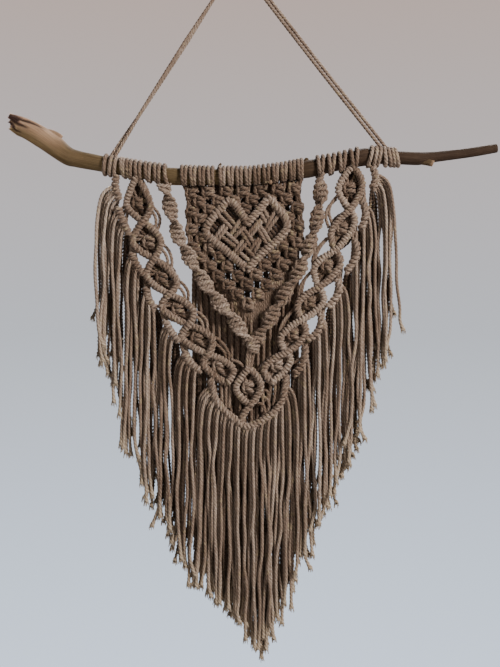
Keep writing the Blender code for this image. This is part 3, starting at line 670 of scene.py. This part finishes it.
def square_knot(yarn, x, z, depth, wide, tall, angle=0.0, radius=KNOT_CORD):
    """Two cords tied over two others."""
    dye_and_shade = RANDOM.uniform(-1, 1)
    for k, points in enumerate(SQUARE_KNOT):
        p = np.array(points) * (wide, 1.0, tall)
        p += RANDOM.uniform(-0.4, 0.4, p.shape)
        if k in CROSSINGS:
            middle = p.mean(axis=0)
            p = middle + turned(p - middle, (0, 0, 0), RANDOM.normal(0, 0.22))
        thick = radius * (CROSSING_THICK if k in CROSSINGS else 1.0)
        yarn.cord(turned(p, (x, depth, z), angle), radius=thick, step=1.35, lay=KNOT_LAY, dye_and_shade=dye_and_shade)


def rear(yarn, x, z, depth, wide, tall):
    """The back of a square knot, where its two cords cross as they do in front, darkened as painted
    shade.
    """
    for points in SQUARE_KNOT[:3]:
        p = np.array(points) * (-wide, -1.0, tall)
        yarn.cord(turned(p, (x, depth, z), 0.0), radius=KNOT_CORD, step=2.2, lay=KNOT_LAY, **HIDDEN_SHADED)


# ---------------------------------------------------------------- the bands

# A band's lozenges, a row each: crossing above, left corner, right corner, centre knot. Then
# its last crossing
BANDS = {
    "left": ((
        ((-111.1, 238), (-122.1, 268.4), (-95.7, 268.4), (-110, 267.3)),
        ((-104, 287.1), (-115.5, 310.2), (-84.7, 306.9), (-98, 309.2)),
        ((-91.8, 327.8), (-100.1, 347.6), (-67.1, 350.9), (-83.6, 348.6)),
        ((-74.8, 366.8), (-83.6, 381.7), (-49.5, 383.9), (-65.9, 382.8)),
        ((-53.9, 400.4), (-61.6, 414.7), (-28.6, 414.7), (-45, 414.7)),
        ((-32.4, 432.8), (-37.4, 444.4), (-5.5, 447.7), (-21.5, 446.6)),
    ), (-12.1, 464.2)),
    "right": ((
        ((125.4, 226), (110, 251.9), (136.4, 246.4), (122.1, 250.8)),
        ((123.2, 273.9), (102.3, 298.1), (127.6, 290.4), (114.3, 294.9)),
        ((106.7, 318.5), (83.6, 337.7), (112.2, 334.4), (97.8, 336.6)),
        ((89.1, 359.2), (66, 376.2), (93.5, 376.2), (79.1, 376.2)),
        ((69.9, 394.9), (47.3, 413.6), (73.7, 411.4), (60.4, 411.4)),
        ((52.8, 430.7), (28.6, 447.7), (57.2, 441.1), (42.8, 444.4)),
    ), (37.4, 463.1)),
    "tip": ((
        ((12.1, 447.7), (-2.2, 469.7), (25.3, 466.4), (11, 468.6)),
    ), (13.2, 488.4)),
}
BOW = 2.2  # how far a bar bows outwards between its corner and its crossing
OVER, UNDER = -1.9, 1.7  # how deep the two bars of a band lie at a crossing
TIP_TAIL = ((13.2, 488.4), (6.5, 498), (3, 506))
LOZENGE_KNOT = (14.2, 13.2)
TIP_KNOT = (13.6, 13.6)

# Slack cords that loop past the crossings, in the photograph's pixels
LOOPS = {
    "left": (
        ((152, 206), (158, 213), (160, 221), (157, 231), (152, 238)),
        ((150, 209), (155, 216), (156, 224), (153, 233)),
        ((162, 243), (169, 251), (172, 262), (170, 274)),
        ((160, 247), (166, 255), (168, 264), (166, 274)),
        ((175, 279), (183, 284), (188, 292), (188, 300)),
        ((174, 283), (180, 288), (184, 294), (185, 300)),
        ((191, 311), (199, 313), (206, 320), (207, 328), (204, 333)),
        ((190, 315), (197, 317), (202, 323), (203, 330)),
        ((209, 334), (219, 340), (226, 348), (229, 355), (228, 361)),
        ((208, 338), (217, 345), (224, 352), (226, 359)),
        ((231, 360), (238, 362), (243, 366), (245, 371)),
    ),
    "right": (
        ((338, 195), (331, 204), (329, 213), (332, 223)),
        ((336, 199), (328, 208), (326, 218), (329, 228)),
        ((330, 236), (321, 246), (316, 256), (315, 265)),
        ((327, 238), (318, 248), (313, 258), (313, 266)),
        ((312, 271), (305, 279), (302, 290), (302, 298)),
        ((309, 274), (302, 283), (299, 292), (299, 300)),
        ((296, 307), (288, 316), (283, 326), (282, 334)),
        ((293, 310), (285, 319), (280, 329), (279, 336)),
        ((277, 359), (270, 361), (263, 365), (258, 371)),
        ((303, 351), (302, 357), (296, 362), (292, 363)),
        ((262, 390), (267, 391), (268, 397), (264, 401)),
        ((260, 396), (267, 399), (269, 406), (267, 413)),
        ((257, 403), (263, 405), (265, 412), (263, 416)),
    ),
}
# Cords that hang between the bands and the bar under them
DROPS = {
    "left": (((213, 384), (213.5, 390), (215, 397)), ((221, 379), (221.5, 392), (222, 405)),
             ((226, 381), (226, 394), (226, 408)), ((230, 378), (230, 394), (229, 408)),
             ((240, 400), (240, 410), (239, 420))),
    "right": (((262, 384), (263, 396), (262, 412)), ((271, 381), (270, 392), (268, 404)),
              ((275, 382), (275, 394), (273, 406)), ((279, 381), (279, 392), (277, 402)),
              ((286, 378), (286, 386), (284, 394))),
}


def bar_line(rows, end, which):
    """One of a band's two bars. They bow outwards, and cross in front of each other in turn."""
    points = []
    for i, row in enumerate(rows):
        points += [row[0], row[1 + (i + which) % 2]]
    points.append(end)
    line = []
    for i, (x, z) in enumerate(points):
        over = OVER if which == (i // 2) % 2 else UNDER
        line.append((x, BAR_DEPTH + (0 if i % 2 else over), z))
        if i + 1 < len(points):
            middle = rows[i // 2][3]
            x1, z1 = halfway((x, z), points[i + 1])
            dx, dz = x1 - middle[0], z1 - middle[1]
            out = math.hypot(dx, dz)
            line.append((x1 + BOW * dx / out, BAR_DEPTH, z1 + BOW * dz / out))
    return line


def lozenge(yarn, row, below, wide, tall):
    """The knot in the middle of a lozenge, and the cords that run to it from the bars."""
    top, left, right, (x, z) = row
    square_knot(yarn, x, z, BAR_DEPTH + 3.0, wide, tall, angle=RANDOM.uniform(-0.15, 0.15))
    for sign, corner in ((-1, left), (1, right)):
        for share, out in ((0.35, 0.4), (0.6, 1.3), (0.85, 2.2)):
            for crossing, high in ((top, -1), (below, 1)):
                start = partway(crossing, corner, share)
                end = (x + sign * 1.5 * out, z + high * tall * (0.46 - 0.09 * out))
                yarn.cord(deep([start, halfway(start, end, sign * 0.8), end], BAR_DEPTH + 4.4),
                          radius=1.9, step=1.8)
    # Thick dark cords behind the knot: painted shade filling the lozenge's gaps
    for aside in (-0.8, -0.5, -0.18, 0.18, 0.5, 0.8):
        reach = aside * (right[0] - x if aside > 0 else x - left[0])
        points = [(top[0] + 0.3 * reach, top[1] + 1.0), (x + 0.8 * reach, 0.5 * (top[1] + z)),
                  (x + reach, z), (x + 0.8 * reach, 0.5 * (below[1] + z)),
                  (below[0] + 0.3 * reach, below[1] - 1.0)]
        yarn.cord(deep(points, BAR_DEPTH + 7.6 + 0.7 * math.cos(9 * aside)), radius=2.9, step=2.6,
                  **HIDDEN_SHADED)


def band(yarn, rows, end, bases, knot):
    """The two bars of a band, and its lozenges with a base each."""
    for which in (0, 1):
        hitches(yarn, bar_line(rows, end, which), way=1 if which else -1)
    for row, below, base in zip(rows, [row[0] for row in rows[1:]] + [end], bases):
        yarn.base = base
        lozenge(yarn, row, below, *knot)


def loose(yarn, side):
    """The slack loops and the hanging pairs on one side."""
    for places in LOOPS[side]:
        points = photo(*places)
        depth = np.interp(np.arange(len(points)), [0, 1, len(points) - 1], [0.8, -0.6, 0.8])
        yarn.cord(deep(points, depth), radius=1.85)
    for places in DROPS[side]:
        yarn.cord(deep(photo(*places), 0.5), radius=1.9)


for side in ("left", "right"):
    yarn = Yarn(BAND_BASE)
    turns(yarn, "band_" + side)
    yarn.base = BAR_BASE
    band(yarn, *BANDS[side], [LOZENGE_BASE + LOZENGE_RISE * i for i in range(6)], LOZENGE_KNOT)
    yarn.base = BAND_BASE
    loose(yarn, side)
    yarn.piece(f"band_{side}_knots", "band_" + side)

yarn = Yarn(TIP_BASE)
band(yarn, *BANDS["tip"], [SPIRAL_BASE], TIP_KNOT)
hitches(yarn, TIP_TAIL)
yarn.piece("band_tip_knots", "band_tip")

# ---------------------------------------------------------------- the spiral sinnets

# Each spiral's line, which way it turns, and how far it has turned at its top
SPIRALS = {
    "left": (((-81, 246), (-73.7, 273.9), (-69.3, 290.4), (-63.8, 306.9), (-52.8, 326.7),
              (-38.5, 350.9), (-23.1, 372.9), (-3.3, 397.1), (11.5, 418)), 1, 0.4),
    "right": (((90.2, 236), (90.2, 262.9), (85.8, 287.1), (82.5, 301.4), (71.5, 331.1),
               (57.2, 356.4), (47.3, 372.9), (33, 397.1), (20, 418)), -1, 1.2),
}
SPIRAL_DEPTH = -4.5
SPIRAL_STEP = 0.4
SPIRAL_TURN = 60.0  # length of a whole turn
DWELL = 0.25  # how much longer it shows its broad face than its edge
SPIRAL_WIDE = 4.6
SPIRAL_THICK = 1.9
SPIRAL_EDGE = 6.3
HALF_KNOT = 6.4
JOIN = (16.5, 423.0)
# The turns of the knot that joins the two: how far below its middle, reach and lean
JOIN_TURNS = ((-6.4, 4.6, -2.6), (-3.1, 5.8, -1.6), (0.3, 6.2, 0.4), (3.6, 5.2, 1.6),
              (6.2, 4.0, 1.0))


def spiral(yarn, line, sign, phase):
    """Half knots, one under another, that turn slowly about their centre line."""
    path = smooth(deep(line, SPIRAL_DEPTH), SPIRAL_STEP)
    ahead = headings(path)
    gone = np.arange(len(path)) * SPIRAL_STEP
    side = sideways(ahead)
    other = np.cross(ahead, side)
    facing = math.tau * gone / SPIRAL_TURN + phase
    twist = (sign * (facing - DWELL * np.sin(2 * facing)))[:, None]
    wide = side * np.cos(twist) + other * np.sin(twist)
    thick = other * np.cos(twist) - side * np.sin(twist)
    laps = gone[-1] / (2 * HALF_KNOT)
    round_about = np.linspace(0, math.tau * laps, int(26 * laps))
    along_it = HALF_KNOT / np.pi * (round_about + 0.46 * np.sin(2 * round_about))
    middle, broad, narrow = (np.stack([np.interp(along_it, gone, column) for column in values.T], 1)
                             for values in (path, wide, thick))
    uneven = 1 + 0.13 * np.sin(0.9 * along_it) * np.sin(0.37 * along_it + phase)
    places = np.arange(-9, gone[-1] + 9, 3.0)
    for k in (0, 1):
        lap = sign * (round_about + np.pi * k)
        flat = np.sign(np.sin(lap)) * np.abs(np.sin(lap)) ** 0.75
        shaken = np.interp(along_it, places, RANDOM.normal(0, 0.4, len(places)))
        aside = middle + broad * (uneven * SPIRAL_WIDE * np.cos(lap) + 0.6 * shaken)[:, None]
        yarn.cord(aside + narrow * (uneven * SPIRAL_THICK * flat + shaken)[:, None], radius=2.3,
                  step=1.35, lay=KNOT_LAY)
    for shift in (-1.3, 1.3):
        yarn.cord(path + wide * shift, radius=1.7, step=2.0)
    beat = math.tau * gone / HALF_KNOT
    for edge in (-1, 1):
        reach = edge * (SPIRAL_EDGE + 0.75 * np.cos(beat) + 0.35 * np.sin(0.31 * gone + phase))
        yarn.cord(path + wide * reach[:, None] + thick * (1.2 * np.sin(beat))[:, None],
                  radius=1.8, step=1.3, lay=9.0)


def join(yarn):
    """The knot that joins the two spirals, and the cords from it to the tip."""
    x, z = JOIN
    for shift in (-3.6, -0.2, 3.2):
        yarn.cord([(x + shift, SPIRAL_DEPTH, z), (13.6 + 0.9 * shift, -3.6, 434.0),
                   (12.1 + 0.6 * shift, BAR_DEPTH + 1.0, 447.7)])
    angle = np.radians(np.linspace(-200, 200, 29))
    for lower, reach, lean in JOIN_TURNS:
        points = np.stack([x + reach * np.sin(angle), SPIRAL_DEPTH - 0.72 * reach * np.cos(angle),
                           z + lower + lean * np.sin(angle)], 1)
        yarn.cord(points, radius=2.0, step=1.4, lay=11.0)


for side, shape in SPIRALS.items():
    yarn = Yarn(SPIRAL_BASE)
    spiral(yarn, *shape)
    if side == "left":
        join(yarn)
    yarn.piece(f"spiral_{side}_knots", "spiral_" + side)

# ---------------------------------------------------------------- the centre cloth

HEART_LINES = (
    ((9.9, 288), (2, 276), (-9, 264.5), (-19, 273), (-30, 286), (-35.5, 297), (-31, 304.5),
     (-12, 320), (8.5, 338)),
    ((9.9, 290), (21, 277), (34, 263), (43, 272), (51.5, 283), (53.5, 294.5), (42, 309),
     (26, 322), (9.5, 340)),
)
HEART_DEPTH = -4.4
HEART_OUTLINE = photo((229, 200), (205, 228), (242, 264), (248, 274), (289, 234), (285, 216),
                      (268, 199), (248, 222))
# Visible stretches of the cords woven inside the heart, in the photograph's pixels
WEAVE = (
    ((222, 210), (234, 224)), ((219, 216), (231, 228)), ((216, 237), (224, 226)),
    ((219, 239), (227, 228)), ((232, 233), (239, 222)), ((236, 236), (244, 228)),
    ((226, 233), (237, 243)), ((223, 238), (234, 246)), ((241, 232), (249, 245)),
    ((244, 230), (253, 242)), ((248, 234), (260, 221)), ((251, 236), (262, 222)),
    ((259, 231), (265, 242)), ((261, 228), (268, 239)), ((266, 228), (273, 215)),
    ((268, 230), (276, 219)), ((236, 250), (243, 241)), ((239, 252), (246, 244)),
    ((251, 249), (258, 240)), ((255, 251), (260, 241)), ((241, 254), (249, 261)),
    ((245, 248), (253, 256)), ((260, 213), (266, 223)), ((264, 211), (268, 218)),
)
# How a woven cord rises past both ends of its stretch: length beyond the end, depth
WEAVE_ENDS = ((9.5, -1.4), (4.0, -1.8), (0.0, -3.9))
WEAVE_DEPTH = -5.4
# The cloth's rows: the row's number, its middle and half its knots' spacing across, its drop
KNOT_ROWS = np.array(((0, 5.7, 9.5, 253.6), (6, 8.8, 9.75, 313.5), (12, 11, 11, 377.5)))
SQUARE_ROWS = 6
KNOT_DEPTH = 1.0
PANEL_KNOT = (15.4, 12.2)
PANEL_REAR = (17.4, 13.4)
PANEL_CORD = 2.3
FEED_CORD = 2.1
FEEDS = (-5.4, -1.9, 1.9, 5.4)  # where the four cords to a knot come in
UNDER_PITCH = 4.5


def within(point, outline=HEART_OUTLINE):
    """Whether a point lies inside a closed outline."""
    x, z = point
    inside = False
    for (x0, z0), (x1, z1) in zip(outline, outline[1:] + outline[:1]):
        if (z0 > z) != (z1 > z) and x < x0 + (z - z0) * (x1 - x0) / (z1 - z0):
            inside = not inside
    return inside


def panel_knots():
    """Where the cloth's square knots lie, by column and row."""
    knots = {}
    for j in range(int(KNOT_ROWS[-1, 0]) + 1):
        middle, half, drop = (np.interp(j, KNOT_ROWS[:, 0], KNOT_ROWS[:, k]) for k in (1, 2, 3))
        most = SQUARE_ROWS - max(0, j - SQUARE_ROWS)
        for i in range(-most, most + 1):
            if (i + j) % 2 == 0:
                knots[i, j] = (middle + i * half + 0.7 * math.sin(1.9 * i + 1.1 * j),
                               drop + 0.7 * math.sin(1.7 * i + 2.3 * j) - 0.035 * i * half)
    return knots


def panel():
    """The square knots below the turns, the heart's outline, and the weave inside it."""
    yarn = Yarn(BAND_BASE)
    turns(yarn, "panel")
    yarn.base = PANEL_BASE
    knots = panel_knots()
    for (i, j), (x, z) in knots.items():
        hidden = within((x, z))
        if not hidden:
            lean = 0.2 * math.sin(2.1 * i + 0.7 * j)
            square_knot(yarn, x, z, KNOT_DEPTH, *PANEL_KNOT, angle=lean, radius=PANEL_CORD)
            rear(yarn, x, z, KNOT_DEPTH + 2.6, *PANEL_REAR)
        for di in (-1, 1):
            target = knots.get((i + di, j + 1))
            if target is None or (hidden and within(target)):
                continue
            # The links further back are darkened as painted shade
            for out, back in ((0.8, 0.6), (4.4, 0.6), (7.7, 4.2), (-2.5, 4.2)):
                a = (x + di * out, z + 3.6)
                b = (target[0] - di * (5.2 - out), target[1] - 3.8)
                yarn.cord(deep([a, halfway(a, b), b], KNOT_DEPTH + back), radius=KNOT_CORD,
                          step=1.9, dye_and_shade=None if back < 1 else PAINTED_SHADE_TINT)
    behind(yarn, knots)
    feeds(yarn, knots)
    edges(yarn, knots)
    under(yarn)
    yarn.base = HEART_BASE
    for k, line in enumerate(HEART_LINES):
        hitches(yarn, line, depth=HEART_DEPTH, wide=2.5, pitch=4.1, radius=2.55, way=1 if k else -1)
    for a, b in WEAVE:
        a, b = np.array(photo(a, b))
        way = (b - a) / math.hypot(*(b - a))
        places = ([a - beyond * way for beyond, _ in WEAVE_ENDS] + [halfway(a, b)]
                  + [b + beyond * way for beyond, _ in WEAVE_ENDS[::-1]])
        depths = [depth for _, depth in WEAVE_ENDS]
        yarn.cord(deep(places, depths + [WEAVE_DEPTH] + depths[::-1]), radius=PANEL_CORD)
    yarn.piece("panel_knots", "panel")


def behind(yarn, knots):
    """The cords that pass at the back of the gap under each knot, darkened as painted shade."""
    for (i, j), (x, z) in knots.items():
        below = knots.get((i, j + 2))
        if below is None or (within((x, z)) and within(below)):
            continue
        for aside in (-2.0, 2.0):
            points = [(x + aside, z + 3.0), halfway((x, z), below, -0.6 * aside),
                      (below[0] + aside, below[1] - 3.0)]
            yarn.cord(deep(points, [5.2, 6.2 + 0.2 * aside, 5.2]), radius=PANEL_CORD, step=2.6,
                      **HIDDEN_SHADED)


def under(yarn):
    """The heart's cords where they pass behind, both ways, darkened as painted shade."""
    middle = np.mean(HEART_OUTLINE, axis=0)
    for way, depth in (((0.64, 0.77), 0.6), ((0.64, -0.77), 3.8)):
        for k in range(-9, 10):
            start = middle + (UNDER_PITCH * k + 2.0) * np.array((-way[1], way[0]))
            inside = [t for t in np.arange(-50.0, 50.0, 0.5) if within(start + t * np.array(way))]
            if len(inside) < 12:
                continue
            points = [start + t * np.array(way) for t in np.linspace(inside[0], inside[-1], 6)]
            yarn.cord(deep(points, depth + RANDOM.uniform(-0.3, 0.3, 6)), radius=PANEL_CORD,
                      dye_and_shade=PAINTED_SHADE_TINT)


def feeds(yarn, knots):
    """The cords from the turns on the branch to the first row's knots, four to a knot."""
    tops = [knots[i, 0] for i in range(-SQUARE_ROWS, SQUARE_ROWS + 1, 2)]
    for k, across in enumerate(TURNS["panel"]):
        x, z = tops[k // 4]
        out = FEEDS[k % 4]
        yarn.cord([(across + 0.6, 3.4, z - 13.0), (0.5 * (across + x + out), -0.8, z - 7.6),
                   (x + out, -0.4, z - 1.5)], radius=FEED_CORD)
        if k % 4 == 3 and k // 4 + 1 < len(tops):
            between = 0.5 * (x + tops[k // 4 + 1][0])
            # Cords behind, between the knots, darkened as painted shade
            for aside in (-1.6, 1.6):
                yarn.cord([(between + aside, 4.2, z - 13.0), (between + aside, 3.8, z - 3.0),
                           (between + 0.6 * aside, 3.4, z + 6.0)], radius=FEED_CORD,
                          dye_and_shade=PAINTED_SHADE_TINT)


def edges(yarn, knots):
    """The outer cords of each side, from an end knot to the next but one."""
    for side in (-1, 1):
        for j in range(0, SQUARE_ROWS, 2):
            a, b = (knots[side * SQUARE_ROWS, row] for row in (j, j + 2))
            for out in (2.2, 5.8):
                points = [(a[0] + side * out * 0.8, a[1] + 3.5), halfway(a, b, side * out * 0.7),
                          (b[0] + side * out * 0.8, b[1] - 3.5)]
                yarn.cord(deep(points, KNOT_DEPTH - 0.6), radius=1.9, step=1.9)


panel()

# ---------------------------------------------------------------- the fringe

FRINGE_PITCH = 2.7
FRINGE_LAYERS = (-5.4, 1.4, -2.0)
REAR_LAYERS = (5.0, 7.4)
FRINGE_STEP = 2.1
REAR_STEP = 3.4
FRINGE_LAY = 13.0
FRINGE_CORD = 1.9
REAR_THICK = 1.2
SETTLE = 38.0  # drop in which a strand comes to its layer
SWAY = 1.6
BUNCH = 3.3  # strands that draw together at their tips
CHAIN_PITCH = 4.9
CHAIN_CORD = 2.6
INWARD = 9.0  # how much further inwards the strands behind reach

# The backing bars, from left to right, and where each one's strands hang: first and last place
# across, drop of the first and last tips
FRINGES = {
    "left_0": (((-133.5, 236), (-134.5, 248), (-130, 262)), (-156.5, -143, 430, 455)),
    "left_1": (((-131, 272), (-126.5, 286), (-119, 301.5)), (-140.8, -127.4, 452, 505)),
    "left_2": (((-116.6, 321.2), (-111, 335), (-103.5, 345)), (-125, -109, 530, 562)),
    "left_3": (((-100.5, 360.5), (-98, 372), (-90.5, 383)), (-107, -91, 574, 609)),
    "left_4": (((-80, 395.5), (-73.5, 407.5), (-63.5, 419)), (-89, -73, 615, 637)),
    "left_5": (((-60, 431), (-52, 442.5), (-40.5, 451)), (-71, -48.5, 645, 684)),
    "right_5": (((60.5, 455), (69, 447), (73, 437), (73.5, 424.5)), (66.5, 81, 668, 642)),
    "right_4": (((76, 416), (85, 411), (91.5, 399), (91, 388.5)), (83, 100.5, 631, 600)),
    "right_3": (((97, 381), (103.5, 375.5), (111.5, 363), (109.5, 351)), (104, 122.5, 590, 555)),
    "right_2": (((117.5, 343.5), (124.3, 334.4), (130.5, 322), (128.5, 308)),
                (124.5, 134.5, 552, 528)),
    "right_1": (((134.5, 297), (138.5, 287), (140, 276), (136.4, 264)), (137, 152, 525, 462)),
    "right_0": (((146.5, 252), (151, 240), (147.5, 225)), (154, 170.5, 466, 417)),
}
TIP_BAR = ((-30, 458.5), (-25.3, 479.6), (-15.4, 493.9), (-4.4, 502.7), (11, 511.5),
           (35.2, 499.4), (48.4, 482.9), (53, 456))
TIP_HEM = np.array(((-46, 684), (-20, 706), (-6, 722), (10, 742), (26, 764), (40, 742),
                    (56, 706), (66.0, 676)))
# The panel's lower edge, where its own cords leave it, and the hem that they reach
PANEL_EDGE = np.array((
    (-50.6, 312.4), (-36.3, 328.9), (-25.3, 345.4), (-14.3, 359.7), (-3.3, 372.9), (8, 382.8),
    (17.5, 382.8), (28.6, 372.9), (40.7, 359.7), (51.7, 345.4), (60.5, 328.9), (67.1, 312.4),
))
BACK_HEM = np.array(((-52, 640), (-25, 690), (10, 730), (28, 752), (50, 700), (71.0, 630)))
BACK_LAYERS = (5.0, 9.6, 7.3)
BACK_PITCH = 2.35


def along(points, share):
    path = smooth(points, 1.0)
    return path[round(share * (len(path) - 1))]


def wander(k):
    return math.sin(12.9898 * k) * math.cos(4.1414 * k)


def drift(k, phase):
    return SWAY * math.sin(0.2 * k + phase)


def falling(yarn, root, across, layer, hem, k, thick=1.0, **style):
    """A strand from its root in a bar, which swings out and then hangs, never quite straight."""
    x, z = root
    settled = z + SETTLE
    bunch = FRINGE_PITCH * BUNCH * round(k / BUNCH + 0.4 * math.sin(1.3 * k))
    gather = (bunch - across) * RANDOM.uniform(0.1, 0.8)
    slant = RANDOM.normal(0, 2.0)
    points = [
        (x, BAR_DEPTH, z),
        (x + 0.71 * (across - x), 0.2 * BAR_DEPTH + 0.8 * layer, z + 0.29 * SETTLE),
        (across, layer, settled),
    ]
    count = max(2, round((hem - settled) / 27.0))
    uneven = np.zeros(2)
    for i in range(1, count + 1):
        share = i / count
        uneven = 0.82 * uneven + RANDOM.normal(0, 1.5, 2)
        aside = drift(k, 2.0 * share) * share + uneven[0] + gather * share ** 2 + slant * share
        points.append((across + aside, layer + 0.7 * uneven[1], settled + (hem - settled) * share))
    if RANDOM.random() < 0.45:
        flick = RANDOM.choice((-1, 1)) * RANDOM.uniform(3, 8)
        end = np.array(points[-1])
        points[-1] = end + (0.35 * flick, 0, -13.0)
        points.append(end + (flick, 0, -2.0))
    yarn.cord(points, radius=thick * FRINGE_CORD * RANDOM.uniform(0.9, 1.08), lay=FRINGE_LAY,
              frayed=True, **style)


def fringe(yarn, bar, first, last, hem, roots, inward=(0.0, 0.0)):
    """A bar's strands, and more behind them, which also reach further inwards; those behind are
    darkened as painted shade.
    """
    for k in range(math.ceil((first - inward[0]) / FRINGE_PITCH),
                   math.floor((last + inward[1]) / FRINGE_PITCH) + 1):
        across = k * FRINGE_PITCH
        share = min(max((across - first) / (last - first), 0.0), 1.0)
        root = along(bar, roots[0] + (roots[1] - roots[0]) * share)
        if first <= across <= last:
            falling(yarn, root, across, FRINGE_LAYERS[k % 3], hem(across) - 2.0 + 8.0 * wander(k),
                    k, step=FRINGE_STEP)
        short = RANDOM.uniform(4.0, 40.0)
        falling(yarn, root, across, REAR_LAYERS[k % 2], hem(across) - short, k, REAR_THICK,
                step=REAR_STEP, **HIDDEN_SHADED)


def ties(yarn, bar, corner, outer, shares):
    """The cords that come out of a band's outer corner and into the bar below it."""
    for k, share in enumerate(shares):
        end = along(bar, share)
        start = (corner[0] + outer * (1.5 - 1.6 * k), corner[1] + 1.5 + 1.5 * k)
        yarn.cord(deep([start, halfway(start, end, outer * 1.2), end], [0.4, -0.6, -1.2]),
                  radius=2.0)


def side_fringe(name, bar, first, last, top, low):
    """One short bar beside a band, with its ties or its turns and with its strands."""
    side, number = name.split("_")
    number = int(number)
    left = side == "left"
    yarn = Yarn(SPIRAL_BASE)
    hitches(yarn, bar, way=-1 if left else 1, wide=2.3, pitch=CHAIN_PITCH, radius=CHAIN_CORD)
    if number:
        corner = BANDS[side][0][number - 1][1 if left else 2]
        ties(yarn, bar, corner, -1 if left else 1, (0.1, 0.4, 0.75) if left else (0.95, 0.65, 0.3))
        roots = (0.05, 0.8) if left else (0.2, 0.95)
    else:
        turns(yarn, "fringe_" + name)
        roots = (0.3, 0.95) if left else (0.05, 0.7)
    # Painted light: the left strands grow darker bar by bar inwards
    yarn.base = LEFT_BASE - LEFT_LIGHT_FALL * number if left else RIGHT_BASE
    fringe(yarn, bar, first, last, lambda x: top + (low - top) * (x - first) / (last - first),
           roots, (0.0, INWARD) if left else (INWARD, 0.0))
    yarn.piece("strands_" + name, "fringe_" + name)


def tip_fringe():
    """The long bar under the lozenges, with its strands."""
    yarn = Yarn(TIP_BASE)
    hitches(yarn, TIP_BAR, wide=2.1, pitch=4.1, radius=2.45)
    fringe(yarn, TIP_BAR, TIP_HEM[0, 0], TIP_HEM[-1, 0], lambda x: np.interp(x, *TIP_HEM.T),
           (0.06, 0.94))
    yarn.piece("strands_tip", "fringe_tip")


def back_layer():
    """The panel's own cords, which fall behind everything, darkened as painted shade."""
    yarn = Yarn()
    for k, across in enumerate(np.arange(PANEL_EDGE[0, 0] + 1.5, PANEL_EDGE[-1, 0], BACK_PITCH)):
        top = np.interp(across, *PANEL_EDGE.T) - 8.0
        end = np.interp(across, *BACK_HEM.T) + 6.0 * wander(k)
        layer = BACK_LAYERS[k % 3]
        points = [(across, 2.0, top), (across, 3.6, top + 12.0), (across, layer, top + SETTLE)]
        uneven = 0.0
        for i in range(1, 9):
            uneven = 0.8 * uneven + RANDOM.normal(0, 0.5)
            points.append((across + drift(k, 0.2 * i) * i / 8 + uneven, layer,
                           top + SETTLE + (end - top - SETTLE) * i / 8))
        yarn.cord(points, radius=2.15, step=2.8, lay=16.0, frayed=True, **HIDDEN_SHADED)
    yarn.piece("strands_back", "fringe_back")


for name, (bar, hang) in FRINGES.items():
    side_fringe(name, bar, *hang)
tip_fringe()
back_layer()

for side in ("left", "right"):
    yarn = Yarn(SPIRAL_BASE)
    turns(yarn, "hitch_" + side, hanging=False)
    yarn.piece("turns_" + side, "hitch_" + side)

# ---------------------------------------------------------------- floor and light

floor = bpy.data.objects.new("floor", bpy.data.meshes.new("floor"))
floor.data.from_pydata([(-1.6, -1.4, 0), (1.6, -1.4, 0), (1.6, 1.15, 0), (-1.6, 1.15, 0)], [],
                       [(0, 1, 2, 3)])
floor.location.z = -1.3
plain = bpy.data.materials.new("floor")
n = Nodes(plain)
n.give(n.tree.nodes["Principled BSDF"], {"Base Color": (0.62, 0.61, 0.60, 1.0), "Roughness": 0.9})
floor.data.materials.append(plain)
SCENE.collection.objects.link(floor)


def lamp(name, place, target, size, power, colour, spread=180.0):
    light = bpy.data.lights.new(name, "AREA")
    light.shape = "DISK"
    light.spread = math.radians(spread)
    light.size = size
    light.energy = power
    light.color = colour
    made = bpy.data.objects.new(name, light)
    made.location = place
    way = np.array(target) - np.array(place)
    made.rotation_euler = (math.acos(-way[2] / np.linalg.norm(way)), 0,
                           math.atan2(way[1], way[0]) - math.pi / 2)
    SCENE.collection.objects.link(made)


lamp("key", (1.42, -1.28, 0.45), (0.0, 0.0, -0.4), 0.45, 66.0, (1.0, 0.975, 0.945))
lamp("fill", (-0.9, -1.2, 0.1), (0.0, 0.0, -0.4), 0.9, 3.0, (0.95, 0.97, 1.0))
lamp("end", (-0.62, -0.75, -0.05), (-0.29, 0.0, -0.20), 0.15, 0.16, (1.0, 0.97, 0.94), 16.0)
lamp("back", (0.5, 1.25, 1.05), (0.0, 0.0, -0.35), 0.9, 75.0, (1.0, 0.98, 0.96))


def surroundings():
    """A pale room: what is seen is even, and what lights the piece comes from its front."""
    SCENE.world = bpy.data.worlds.new("world")
    n = Nodes(SCENE.world)
    where = n.add("ShaderNodeTexCoord").outputs["Generated"]
    parts = n.add("ShaderNodeSeparateXYZ", {0: where}).outputs

    def ramp(axis, *stops):
        inputs = {"From Min": -1.0, "Value": parts[axis]}
        return n.ramp(n.add("ShaderNodeMapRange", inputs).outputs[0], *stops)

    seen = ramp("Z", (0.31, (0.96, 1.12, 1.36)), (0.50, (0.65, 0.68, 0.74)),
                (0.69, (0.62, 0.50, 0.455)))
    lit = ramp("Y", (0.25, (0.15, 0.145, 0.14)), (0.55, (0.05, 0.045, 0.04)),
               (0.8, (0.05, 0.046, 0.042)))
    direct = n.add("ShaderNodeLightPath").outputs["Is Camera Ray"]
    n.give(n.tree.nodes["Background"], {"Color": n.mix(direct, lit, seen)})


surroundings()
